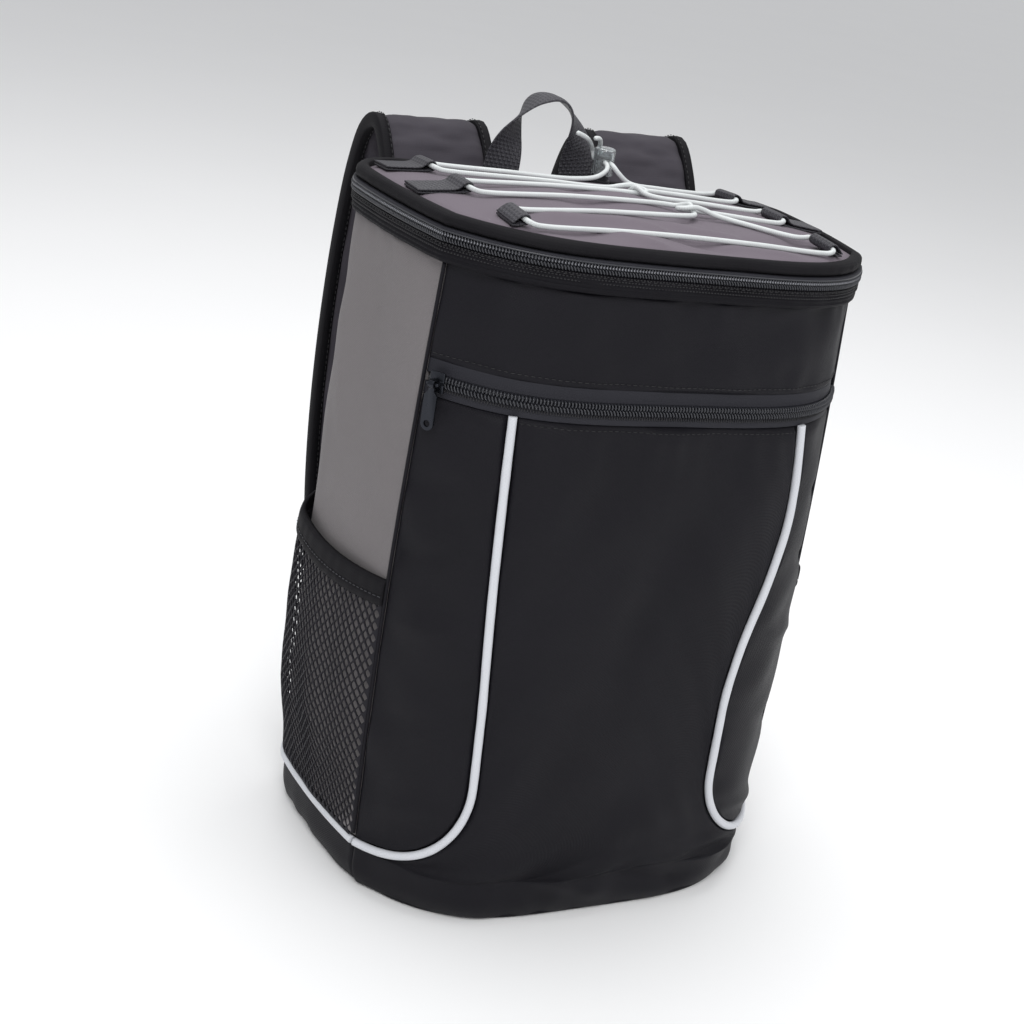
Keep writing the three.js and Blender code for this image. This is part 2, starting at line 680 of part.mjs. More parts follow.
// The main zip runs round the front and both sides, from one rear corner to the other
function buildRimZip() {
  const left = [ZIP_REAR, ...SIDE_COLUMNS.filter((t) => t > ZIP_REAR)];
  const right = [...left].reverse();
  const strip = (depth) => RIM_ZIP_ROWS.map((z) => [
    ...left.map((t) => sidePoint(LEFT, t, z, depth)),
    ...frontColumns(1).slice(1, -1).map((f) => frontPoint(f, z, depth)),
    ...right.map((t) => sidePoint(RIGHT, t, z, depth)),
  ]);
  return sheetSolid(strip(RIM_ZIP_FACE), strip(RIM_ZIP_FACE + RIM_ZIP_THICK));
}

// The main zip's slider is out of sight at the right rear end of the zip
function buildMainSlider() {
  const z = RIM_ZIP_Z + RIM_ZIP_HEIGHT / 2;
  const [from, to] = [ZIP_REAR, SIDE_COLUMNS[3]].map((t) => sidePoint(RIGHT, t, z, RIM_ZIP_FACE));
  const face = from.clone().lerp(to, 0.5);
  const along = to.sub(from);
  const block = new THREE.BoxGeometry(MAIN_SLIDER_DEPTH, MAIN_SLIDER_WIDTH, MAIN_SLIDER_HEIGHT);
  block.translate(MAIN_SLIDER_DEPTH / 2 + GAP, 0, 0);
  block.rotateZ(Math.atan2(along.x, -along.y));
  block.translate(face.x, face.y, face.z);
  add('main_zip_slider', block, zipMetal);
}

// The lid's top face: a low crown over the outline
const LID_HALF_WIDTH = REAR_HALF_TOP;
const LID_MIDDLE_Y = BACK_Y - (SIDE_DEPTH_TOP + FRONT_BULGE_TOP) / 2;
const LID_HALF_DEPTH = (SIDE_DEPTH_TOP + FRONT_BULGE_TOP) / 2;
const LID_EDGE_Z = LID_TOP_Z - LID_EDGE_DROP;

function lidPoint(x, y, lift = 0) {
  const across = 1 - Math.min(1, Math.abs(x / LID_HALF_WIDTH)) ** LID_CROWN_POWER;
  const along = 1 - Math.min(1, Math.abs((y - LID_MIDDLE_Y) / LID_HALF_DEPTH)) ** LID_CROWN_POWER;
  return place(x, y, LID_EDGE_Z + LID_CROWN * across * along + lift);
}

function buildLid() {
  const edge = outline(LID_BAND_Z, LID_BAND_INSET + GAP);
  const ring = (share, top) => edge.map(({ x, y }) => {
    const here = new THREE.Vector2(x * share, lerp(LID_MIDDLE_Y, y, share));
    return lidPoint(here.x, here.y, top ? 0 : -LID_THICK);
  });
  const under = LID_RINGS.map((share) => ring(share, false)).reverse();
  const over = LID_RINGS.map((share) => ring(share, true));
  add('lid_panel', loftSolid([...under, ...over]), charcoalCloth);
}

// Mesh pocket: a thin wall that stands off the side panel, open at the top
const MESH_FOOT = SIDE_PIPING_Z + PIPING_SEAT;

function meshAcross(t) {
  return clamp((t - MESH_REAR) / (1 - SIDE_EDGE - MESH_REAR), 0, 1);
}

function meshDepth(t, z) {
  const rise = clamp((z - MESH_FOOT) / (MESH_TOP - MESH_FOOT), 0, 1);
  const across = Math.sin(Math.PI * meshAcross(t)) ** MESH_ROUNDNESS;
  const upward = Math.sin(lerp(MESH_SWELL_FOOT, MESH_SWELL_TOP, rise) * Math.PI);
  return GAP + MESH_WALL + MESH_BULGE * across * upward * Math.min(1, rise * MESH_FOOT_SLOPE);
}

function meshTop(t) {
  const across = meshAcross(t);
  return MESH_TOP - MESH_DIP * Math.sin(Math.PI * across) + MESH_FRONT_RISE * across;
}

function buildMeshPocket(side, suffix) {
  const halved = (t, i, all) => (i > 3 ? [(all[i - 1] + t) / 2, t] : [t]);
  const columns = SIDE_COLUMNS.slice(1).flatMap(halved).map((t) => Math.min(t, 1 - SIDE_EDGE));
  const wall = (back) => spread(7, 0, 1).map((share) => columns.map((t) => {
    const z = lerp(MESH_FOOT, meshTop(t), share);
    return sidePoint(side, t, z, back - meshDepth(t, z));
  }));
  add(`mesh_pocket_${suffix}`, sheetSolid(wall(0), wall(MESH_WALL)), netting);
  const strip = (back) => spread(2, 0, 1).map((share) => columns.map((t) => {
    const z = meshTop(t) + GAP + BINDING_HEIGHT * share;
    const lean = BINDING_LEAN * share * Math.sin(Math.PI * meshAcross(t));
    return sidePoint(side, t, z, back + lean - meshDepth(t, meshTop(t)));
  }));
  const outward = BINDING_THICK - MESH_WALL;
  add(`mesh_binding_${suffix}`, sheetSolid(strip(-outward), strip(MESH_WALL)), bindingTape);
}

// Stations along a curve, spaced evenly by its length
function evenStations(curve, count) {
  return spread(count, 0, 1).map((share) => (
    { point: curve.getPointAt(share), tangent: curve.getTangentAt(share) }));
}

// A flat strap bent along a line of stations, with the line in the plane of shape x and y
function ribbon(stations, thick, width) {
  const edge = (side) => stations.map(({ point, tangent }) => {
    const half = (side * thick) / 2;
    return new THREE.Vector2(point.x - tangent.y * half, point.y + tangent.x * half);
  });
  const shape = new THREE.Shape([...edge(1), ...edge(-1).reverse()]);
  const geometry = new THREE.ExtrudeGeometry(shape, { depth: width, bevelEnabled: false });
  geometry.translate(0, 0, -width / 2);
  return geometry;
}

// Half the lid's width at a distance along it
function lidEdgeX(y) {
  const edge = outline(LID_BAND_Z, LID_BAND_INSET).filter(({ x }) => x > 0);
  const crossings = edge.slice(1).map((b, i) => [edge[i], b])
    .filter(([a, b]) => (a.y - y) * (b.y - y) <= 0);
  return Math.max(...crossings.map(([a, b]) => lerp(a.x, b.x, (y - a.y) / (b.y - a.y))));
}

// A webbing loop: sewn down at the lid's edge, folded back over itself round an eye for the cord
function buildWebbingLoop(side, row, suffix) {
  const halfWidth = LOOP_WIDTH / 2;
  const edgeX = Math.min(lidEdgeX(row.y - halfWidth), lidEdgeX(row.y + halfWidth));
  const start = lidPoint(side * (edgeX - LOOP_INSET), row.y);
  const end = lidPoint(side * row.eyeX, row.y);
  const along = end.clone().sub(start).normalize();
  const across = lidPoint(end.x, row.y + halfWidth).sub(lidPoint(end.x, row.y - halfWidth)).normalize();
  const up = across.cross(along).multiplyScalar(side);
  const wide = along.clone().cross(up);
  const length = end.distanceTo(start);
  const low = LOOP_SEAT + LOOP_THICK / 2;
  const high = low + LOOP_THICK + LOOP_LAYER_GAP;
  const radius = LOOP_EYE + LOOP_THICK / 2;
  const eye = spread(4, -Math.PI / 2, Math.PI / 2).map((angle) => (
    [length + radius * Math.cos(angle), low + radius + radius * Math.sin(angle)]));
  const line = [[0, low], [length / 2, low], ...eye, [length - radius, low + radius * 1.6],
    [length - 2 * radius, high + radius * 0.15], [length / 2 - radius, high], [0, high]];
  const curve = new THREE.CatmullRomCurve3(line.map(([x, y]) => new THREE.Vector3(x, y, 0)));
  const stations = spread(2 * (line.length - 1), 0, 1).map((share) => (
    { point: curve.getPoint(share), tangent: curve.getTangent(share) }));
  const geometry = ribbon(stations, LOOP_THICK, LOOP_WIDTH);
  geometry.applyMatrix4(new THREE.Matrix4().makeBasis(along, up, wide).setPosition(start));
  add(`webbing_loop_${suffix}_${row.name}`, geometry, webbing);
}

// The elastic cord's route over the lid: x and y in the part's frame and the height of its middle above
// the lid. It starts and ends as a tail out of the cord lock and runs once round all six loops.
const CORD_ROUTE = [
  [-1, 87, 31], [8, 90, 28.4], [15, 96, 25], [19.2, 99.6, 21], [20.1, 97, 16.1], [20.1, 88, 14.8],
  [20.1, 80.2, 13.7], [18.6, 76, 10.4], [12, 74.6, 5.6], [-4, 75.4, 2.6], [-50, 78.6, 2.2],
  [-95, 82.6, 2.5],
  [-103, 84.2, 3.2], [-106.4, 82.8, 4.3], [-107, 70, 4.5], [-106.4, 57.2, 4.3], [-103, 55.8, 3.2],
  [-95, 55, 2.5], [-40, 50, 2.2], [4, 45.9, 2.6], [13, 45.4, 4.6], [20, 45.3, 5.8], [26.4, 44.8, 4.6],
  [29.6, 42, 3.6], [26.4, 39.2, 2.4], [20, 38.8, 2.2], [4, 38.4, 2.2], [-40, 34, 2.2], [-95, 29, 2.5],
  [-103, 28.2, 3.2], [-106.4, 26.8, 4.3], [-107, 14, 4.5], [-106.4, 1.2, 4.3], [-103, -0.2, 3.2],
  [-95, -0.4, 2.5], [-40, 6, 2.2], [12, 11.2, 2.2], [24, 11.2, 2.3], [31.6, 8, 2.8], [35.4, 4, 4.8],
  [36.6, 0.3, 5.8], [36.8, -3, 4], [36.4, -6.4, 2.2], [33.4, -12, 2.2], [25, -16.4, 2.2], [-40, -27, 2.2],
  [-90, -35, 2.5], [-97, -35.8, 3.2], [-100.4, -37.2, 4.3], [-101, -50, 4.5], [-100.4, -62.8, 4.3],
  [-97, -64.4, 3.2], [-90, -64.4, 2.5], [-45, -62, 2.2], [0, -61, 2.2], [45, -62, 2.2], [90, -64.4, 2.5],
  [97, -64.4, 3.2], [100.4, -62.8, 4.3], [101, -50, 4.5], [100.4, -37.2, 4.3], [97, -35.8, 3.2],
  [90, -34.6, 2.5], [66, -19, 2.2], [50, -9, 3], [43, -6.8, 4.8], [36.4, -6.4, 5.8], [30, -6, 4.6],
  [26.8, -3, 3.4], [30, 0, 2.4], [36.6, 0.3, 2.2], [50, 0.8, 2.2], [95, -0.4, 2.5], [103, -0.2, 3.2],
  [106.4, 1.2, 4.3],
  [107, 14, 4.5], [106.4, 26.8, 4.3], [103, 28.2, 3.2], [95, 28.8, 2.5], [60, 29.6, 2.2], [32, 30.2, 2.2],
  [24, 33.4, 3.2], [20.4, 38.6, 5.8], [19.8, 42, 4], [20.2, 45.4, 2.2], [24, 50.6, 2.2], [32, 53.8, 2.2],
  [60, 55, 2.2], [95, 55, 2.5], [103, 55.8, 3.2], [106.4, 57.2, 4.3], [107, 70, 4.5], [106.4, 82.8, 4.3],
  [103, 84.2, 3.2], [95, 82.6, 2.5], [60, 79, 2.2], [36, 75.4, 3.6], [27.6, 75.2, 8.6], [24, 77.4, 12.6],
  [23.9, 80.6, 13.8], [23.9, 88, 14.8], [23.9, 97, 16.1], [24.2, 100.2, 20.6], [23.4, 98.6, 25.8],
  [19.4, 93.4, 28.6], [13, 87.6, 28.8],
];

function buildCord() {
  const points = CORD_ROUTE.map(([x, y, lift]) => lidPoint(x, y, lift));
  add('bungee_cord', tube(points, CORD_RADIUS, 6), elasticCord);
}

// Cord lock: a barrel with a bore from below and a cross hole, and a sprung button in the bore
const LOCK_LIFT = LOCK_SEAT + BUTTON_HEAD + BUTTON_TRAVEL + LOCK_CLEARANCE;
const LOCK_SEGMENTS = 20;

function latheSolid(profile) {
  const points = profile.map(([radius, z]) => new THREE.Vector2(radius, z));
  return toSolid(new THREE.LatheGeometry(points, LOCK_SEGMENTS).rotateX(Math.PI / 2));
}

function crossHole(low, high) {
  const width = LOCK_CORD_SPACING + 2 * (CORD_RADIUS + LOCK_CLEARANCE);
  const box = new THREE.BoxGeometry(width, LOCK_RADIUS * 4, high - low);
  box.translate(0, 0, (low + high) / 2);
  return toSolid(box);
}

function buildCordLock() {
  const foot = lidPoint(LOCK_X, LOCK_Y, LOCK_LIFT);
  const holeLow = LOCK_HOLE_Z - CORD_RADIUS - LOCK_HOLE_CLEARANCE;
  const holeHigh = LOCK_HOLE_Z + CORD_RADIUS + LOCK_HOLE_CLEARANCE;
  const roof = LOCK_HEIGHT - LOCK_TOP;
  const cup = latheSolid([[LOCK_BORE, 0], [LOCK_RADIUS, 0], [LOCK_RADIUS, LOCK_HEIGHT - LOCK_EDGE],
    [LOCK_RADIUS - LOCK_EDGE, LOCK_HEIGHT], [0, LOCK_HEIGHT], [0, roof], [LOCK_BORE, roof],
    [LOCK_BORE, 0]]);
  const barrel = toGeometry(cup.subtract(crossHole(holeLow, holeHigh)));
  barrel.translate(foot.x, foot.y, foot.z);
  add('cord_lock_barrel', barrel, clearPlastic);
  const stem = LOCK_BORE - LOCK_CLEARANCE;
  const headTop = -BUTTON_TRAVEL - LOCK_CLEARANCE;
  const stemTop = roof - BUTTON_TRAVEL - LOCK_CLEARANCE;
  const plunger = latheSolid([[0, headTop - BUTTON_HEAD], [BUTTON_HEAD_RADIUS, headTop - BUTTON_HEAD],
    [BUTTON_HEAD_RADIUS, headTop], [stem, headTop], [stem, stemTop], [0, stemTop]]);
  const button = toGeometry(plunger.subtract(crossHole(holeLow - BUTTON_TRAVEL, holeHigh)));
  button.translate(foot.x, foot.y, foot.z);
  add('cord_lock_button', button, darkPlastic);
}

// A flat strip carried along a path: each station gives its middle, its width direction and its face normal
function stripSolid(stations) {
  return loftSolid(stations.map(({ middle, wide, face, width, thick, corner = 0 }) => {
    const w = width / 2;
    const t = thick / 2;
    const outlinePoints = corner > 0
      ? [[-w, -t + corner], [-w + corner, -t], [w - corner, -t], [w, -t + corner], [w, t - corner],
        [w - corner, t], [-w + corner, t], [-w, t - corner]]
      : [[-w, -t], [w, -t], [w, t], [-w, t]];
    return outlinePoints.map(([a, b]) => middle.clone().addScaledVector(wide, a).addScaledVector(face, b));
  }));
}

// The handle's feet lie flat on the back of the rim, and its webbing turns over by a quarter on the way up
const HANDLE_Y = BACK_Y + RIM_OUT + SEWN_SEAT + WEBBING_THICK / 2;
const HANDLE_STEPS = 22;

function buildHandle() {
  const foot = LID_BAND_Z - HANDLE_FOOT_DROP;
  const right = HANDLE_LINE.map(({ across, up }) => [across, up]);
  const left = right.slice(1).map(([across, up]) => [-across, up]).reverse();
  const arch = new THREE.CatmullRomCurve3([...left, ...right].map(([across, up]) => (
    new THREE.Vector3(HANDLE_X + across * HANDLE_HALF_SPAN, HANDLE_Y, foot + up * HANDLE_RISE))));
  const depthwise = new THREE.Vector3(0, 1, 0);
  const stations = spread(HANDLE_STEPS, 0, 1).map((share) => {
    const middle = arch.getPointAt(share);
    const tangent = arch.getTangentAt(share);
    const toFoot = Math.abs(2 * share - 1);
    const turn = (Math.PI / 2) * THREE.MathUtils.smoothstep(toFoot, 0.25, 0.9);
    const inward = new THREE.Vector3(tangent.z, 0, -tangent.x).multiplyScalar(share < 0.5 ? 1 : -1);
    const wide = depthwise.clone().multiplyScalar(Math.cos(turn)).addScaledVector(inward, Math.sin(turn));
    const face = tangent.clone().cross(wide).normalize();
    return { middle, wide, face, width: WEBBING_WIDTH, thick: WEBBING_THICK };
  });
  add('grab_handle', stripSolid(stations), webbing);
}

const STRAP_STEPS = 18;

// The strap's middle line in the plane of y and z
function strapCurve() {
  const seat = STRAP_THICK / 2 + STRAP_SEAT;
  return new THREE.CatmullRomCurve3(STRAP_LINE.map(({ out, height }) => (
    new THREE.Vector3(0, BACK_Y + lerp(seat, STRAP_REACH, out), height * BODY_HEIGHT))));
}

function buildStrap(side, suffix) {
  const curve = strapCurve();
  const wide = new THREE.Vector3(1, 0, 0);
  const stations = spread(STRAP_STEPS, 0, 1).map((share) => {
    const middle = curve.getPointAt(share);
    const drift = THREE.MathUtils.smoothstep(share, 0.35, 1);
    middle.x = side * lerp(STRAP_X_TOP, STRAP_X_END, drift);
    const face = curve.getTangentAt(share).cross(wide).normalize();
    const width = lerp(STRAP_WIDTH_TOP, STRAP_WIDTH_END, drift);
    return { middle, wide, face, width, thick: STRAP_THICK, corner: STRAP_EDGE };
  });
  add(`shoulder_strap_${suffix}`, stripSolid(stations), strapCloth);
}

// A ribbon is drawn in a plane; this turns its plane to y and z and its width to x
function ribbonUpright(line, divisions) {
  const curve = new THREE.SplineCurve(line.map(([x, y]) => new THREE.Vector2(x, y)));
  const geometry = ribbon(evenStations(curve, divisions), WEBBING_THICK, WEBBING_WIDTH - 1);
  const turn = new THREE.Matrix4().makeBasis(new THREE.Vector3(0, 1, 0), new THREE.Vector3(0, 0, 1),
    new THREE.Vector3(1, 0, 0));
  return geometry.applyMatrix4(turn);
}

// Adjuster: a flat buckle on the line that leaves the strap's end. Its frame's x is across, y runs along
// the strap towards its end, and z is out of its face. A tab from the strap folds round its upper bar.
function buildStrapEnd(side, suffix) {
  const curve = strapCurve();
  const end = curve.getPointAt(1);
  end.x = side * STRAP_X_END;
  const down = curve.getTangentAt(1);
  const across = new THREE.Vector3(1, 0, 0);
  const out = across.clone().cross(down);
  const basis = new THREE.Matrix4().makeBasis(across, down, out).setPosition(end);
  const half = ADJUSTER_WIDTH / 2;
  const top = ADJUSTER_DROP;
  const reach = top + ADJUSTER_LENGTH;
  const slotHalf = half - ADJUSTER_SIDE;
  const slot = ([from, to]) => (
    polygon([[-slotHalf, from], [-slotHalf, to], [slotHalf, to], [slotHalf, from]]));
  const middleBar = top + ADJUSTER_LENGTH / 2;
  const upper = [top + ADJUSTER_BAR, middleBar - ADJUSTER_BAR / 2];
  const lower = [middleBar + ADJUSTER_BAR / 2, reach - ADJUSTER_BAR];
  const buckle = polygon([[-half, top], [half, top], [half - ADJUSTER_TAPER, reach],
    [-half + ADJUSTER_TAPER, reach]]);
  buckle.holes.push(slot(upper), slot(lower));
  add(`strap_adjuster_${suffix}`, plateOf(buckle, ADJUSTER_THICK).applyMatrix4(basis), darkPlastic);
  const clear = ADJUSTER_THICK / 2 + WEBBING_THICK / 2 + GAP;
  const fold = (upper[0] + upper[1]) / 2;
  const thick = WEBBING_THICK;
  const leg = [[GAP, clear + thick * 0.6], [top * 0.65, clear + thick * 0.4], [top + thick, clear],
    [fold - thick / 2, clear - thick * 0.15]];
  const back = leg.map(([y, z]) => [y, -z]).reverse();
  const tab = ribbonUpright([...leg, [fold + thick * 0.6, 0], ...back], 20);
  add(`strap_tab_${suffix}`, tab.applyMatrix4(basis), webbing);
  buildStrapWebbing(side, suffix, { end, down, out, fold: (lower[0] + lower[1]) / 2, clear, reach });
}

// The webbing comes up from the foot of the back, folds over the adjuster's lower bar and hangs as a tail
function buildStrapWebbing(side, suffix, { end, down, out, fold, clear, reach }) {
  const inward = out.y < 0 ? 1 : -1;
  const at = (along, off) => {
    const point = end.clone().addScaledVector(down, along).addScaledVector(out, inward * off);
    return [point.y, point.z];
  };
  const sewnY = BACK_Y + SEWN_SEAT + WEBBING_THICK / 2;
  const foot = WEBBING_FOOT.map(({ out: away, up }) => (
    [sewnY + away * WEBBING_WIDTH, BOOT_TOP + up * WEBBING_WIDTH]));
  const thick = WEBBING_THICK;
  const hang = at(reach + thick * 3, -clear - thick * 0.3);
  const line = [...foot, at(reach + thick * 5, clear + thick * 0.7), at(reach - thick, clear + thick * 0.2),
    at(fold + thick * 0.7, clear - thick * 0.2), at(fold - thick * 0.4, 0),
    at(fold + thick * 0.7, -clear + thick * 0.2), at(reach - thick, -clear), hang,
    [hang[0] + TAIL_SWAY, hang[1] - TAIL_LENGTH * 0.4],
    [hang[0] + TAIL_SWAY / 3, hang[1] - TAIL_LENGTH * 0.8]];
  const geometry = ribbonUpright(line, 40);
  geometry.translate(side * STRAP_X_END, 0, 0);
  add(`strap_webbing_${suffix}`, geometry, webbing);
}

buildShell();
buildFrontPocket();
buildFrontCorner(LEFT, 'front_corner_left');
buildFrontCorner(RIGHT, 'front_corner_right');
buildPiping();
buildPocketZip();
const zipFrame = sliderFrame();
buildSlider(zipFrame);
buildPull(zipFrame);
buildRim();
buildMainSlider();
buildLid();
buildMeshPocket(LEFT, 'left');
buildMeshPocket(RIGHT, 'right');
for (const row of LOOP_ROWS) {
  buildWebbingLoop(LEFT, row, 'left');
  buildWebbingLoop(RIGHT, row, 'right');
}
buildCord();
buildCordLock();
buildHandle();
buildStrap(LEFT, 'left');
buildStrap(RIGHT, 'right');
buildStrapEnd(LEFT, 'left');
buildStrapEnd(RIGHT, 'right');

export default part;
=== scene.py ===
"""A soft insulated backpack that stands on its base, dressed over its packed solids.

Metres, in the frame of the solids: the origin is the middle of the base, +Z is up and the front pocket
faces -Y. Each surface is a function of two parameters on a grid, or a section carried along a path.
"""
import math
from contextlib import contextmanager

import bmesh
import bpy
import numpy as np
from bpy.props import FloatProperty, FloatVectorProperty, PointerProperty
from mathutils import Matrix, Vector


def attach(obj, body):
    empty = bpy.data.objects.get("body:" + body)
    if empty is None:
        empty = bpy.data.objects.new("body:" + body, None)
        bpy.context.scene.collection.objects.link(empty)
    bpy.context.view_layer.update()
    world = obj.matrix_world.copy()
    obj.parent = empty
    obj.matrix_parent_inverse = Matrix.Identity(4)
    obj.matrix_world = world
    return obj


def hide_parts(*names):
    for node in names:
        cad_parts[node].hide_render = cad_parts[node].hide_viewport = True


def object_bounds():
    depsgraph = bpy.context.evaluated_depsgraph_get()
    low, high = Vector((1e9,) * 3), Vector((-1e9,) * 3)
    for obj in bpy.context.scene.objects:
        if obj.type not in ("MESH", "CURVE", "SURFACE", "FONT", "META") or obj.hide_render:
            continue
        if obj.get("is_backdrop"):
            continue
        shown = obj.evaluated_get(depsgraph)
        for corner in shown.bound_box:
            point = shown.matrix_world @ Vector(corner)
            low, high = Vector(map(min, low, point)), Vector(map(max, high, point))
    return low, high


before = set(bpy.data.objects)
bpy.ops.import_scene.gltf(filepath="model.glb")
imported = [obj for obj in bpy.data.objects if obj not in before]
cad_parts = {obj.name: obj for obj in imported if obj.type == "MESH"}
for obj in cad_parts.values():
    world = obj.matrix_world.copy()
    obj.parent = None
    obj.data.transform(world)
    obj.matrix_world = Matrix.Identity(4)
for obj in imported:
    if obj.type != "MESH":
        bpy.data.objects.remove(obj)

bl_info = {
    "name": "Cooler backpack",
    "version": (1, 0, 0),
    "blender": (4, 5, 0),
    "location": "3D View > Sidebar > Backpack",
    "description": "Builds a soft insulated backpack piece by piece",
    "category": "Add Mesh",
}

LEFT = -1
RIGHT = 1
SIDES = {"left": LEFT, "right": RIGHT}

# Body
BODY_HEIGHT = 0.398
BASE_DEPTH = 0.202
BACK_Y = BASE_DEPTH / 2
SEAM_HALF_TOP = 0.135
SEAM_HALF_FOOT = 0.142
REAR_HALF_TOP = 0.147
REAR_HALF_FOOT = 0.153
SIDE_DEPTH_TOP = 0.141
FRONT_BULGE_TOP = 0.046
FRONT_BULGE_FOOT = 0.062
FRONT_SQUARENESS = 4.2
REAR_CORNER = 0.040
CORNER_SHARE = 0.36
BELLY = 0.005
WALL = 0.006
FOOT_TUCK = 0.005
FOOT_TUCK_HEIGHT = 0.016
LID_SLANT = 0.035
GAP = 0.0003
# Distances from a panel's seam: its folds fade out below the first, its topstitching runs at the second
RELIEF_FADE = 0.0035
TOPSTITCH = 0.0040
# Depth of the middle of seams, piping and coil: below 0 lies outside the cloth's face
SEAM_DEPTH = -0.0004
# Shares across the front at which its panels and the pocket's zip end, just short of the side seams
FRONT_EDGE = 0.9995
ZIP_EDGE = 0.9985

# Piping and front pocket zip
PIPING_RADIUS = 0.0025
PIPING_SEAT = PIPING_RADIUS + 0.0005
FLANGE_DEPTH = 0.0034
FLANGE_WIDTH = 0.0080
SIDE_PIPING_Z = 0.032
PIPING_CURVE_HEIGHT = 0.062
PIPING_CURVE_Z = SIDE_PIPING_Z + PIPING_CURVE_HEIGHT
PIPING_LINE = [
    {"height": 0, "left": 0.645, "right": 0.478},
    {"height": 0.24, "left": 0.657, "right": 0.468},
    {"height": 0.4, "left": 0.672, "right": 0.51},
    {"height": 0.56, "left": 0.686, "right": 0.6},
    {"height": 0.72, "left": 0.697, "right": 0.668},
    {"height": 0.85, "left": 0.706, "right": 0.67},
    {"height": 1, "left": 0.715, "right": 0.645},
]
POCKET_ZIP_Z = 0.3334
POCKET_COIL = 0.0064
POCKET_TAPE_LOWER = 0.0049
POCKET_TAPE_UPPER = 0.0066
POCKET_TOP = POCKET_ZIP_Z - POCKET_COIL / 2 - POCKET_TAPE_LOWER - 2 * GAP
UPPER_FOOT = POCKET_ZIP_Z + POCKET_COIL / 2 + POCKET_TAPE_UPPER + 2 * GAP

# Rim and lid
RIM_OUT = 0.0045
RIM_BAND_LOW = BODY_HEIGHT + GAP
RIM_BAND_HEIGHT = 0.010
RIM_BAND_HIGH = RIM_BAND_LOW + RIM_BAND_HEIGHT
RIM_ZIP_Z = BODY_HEIGHT + RIM_BAND_HEIGHT + 2 * GAP
RIM_ZIP_HEIGHT = 0.005
LID_BAND_Z = RIM_ZIP_Z + RIM_ZIP_HEIGHT + GAP
LIP_HEIGHT = 0.0019
LID_TOP_Z = LID_BAND_Z + 0.009
LID_EDGE_Z = LID_TOP_Z - 0.002
LID_INSET = 0.004
LID_CROWN = 0.007
LID_CROWN_POWER = 2.5
LID_THICK = 0.005
LID_HALF_WIDTH = REAR_HALF_TOP
LID_HALF_DEPTH = (SIDE_DEPTH_TOP + FRONT_BULGE_TOP) / 2
LID_MIDDLE_Y = BACK_Y - LID_HALF_DEPTH
ZIP_REAR = 0.2

# Mesh side pockets
MESH_FOOT = SIDE_PIPING_Z + PIPING_SEAT
MESH_TOP = 0.200
MESH_DIP = 0.006
MESH_BULGE = 0.013
MESH_WALL = 0.0016
MESH_FRONT_RISE = -0.003
MESH_REAR = CORNER_SHARE / 4
BINDING_HEIGHT = 0.013
BINDING_THICK = 0.0026
# How far the binding laps over the net, and the share of its height at which it is sewn down
BINDING_LAP = 0.0035
BINDING_SEAM = 0.36
# The net's strand, and its holes: their size and squareness as shares of a cell
NET_STRAND = 0.0010
NET_HOLE = 0.75
NET_HOLE_SQUARE = 0.62
# Metres round the side from the back seam to the side seam, for the net's UV map and wrinkles
SIDE_LENGTH = 0.16

# Webbing loops and the elastic cord
CORD_RADIUS = 0.0015
CORD_MELT = 0.0012
LOOP_WIDTH = 0.022
LOOP_THICK = 0.0014
LOOP_EYE = 0.0019
LOOP_EYE_HEIGHT = 0.0045
LOOP_SEAT = 0.0006
LOOP_ROWS = [
    {"name": "1", "y": 0.070, "eye_x": 0.107},
    {"name": "2", "y": 0.014, "eye_x": 0.107},
    {"name": "3", "y": -0.050, "eye_x": 0.101},
]
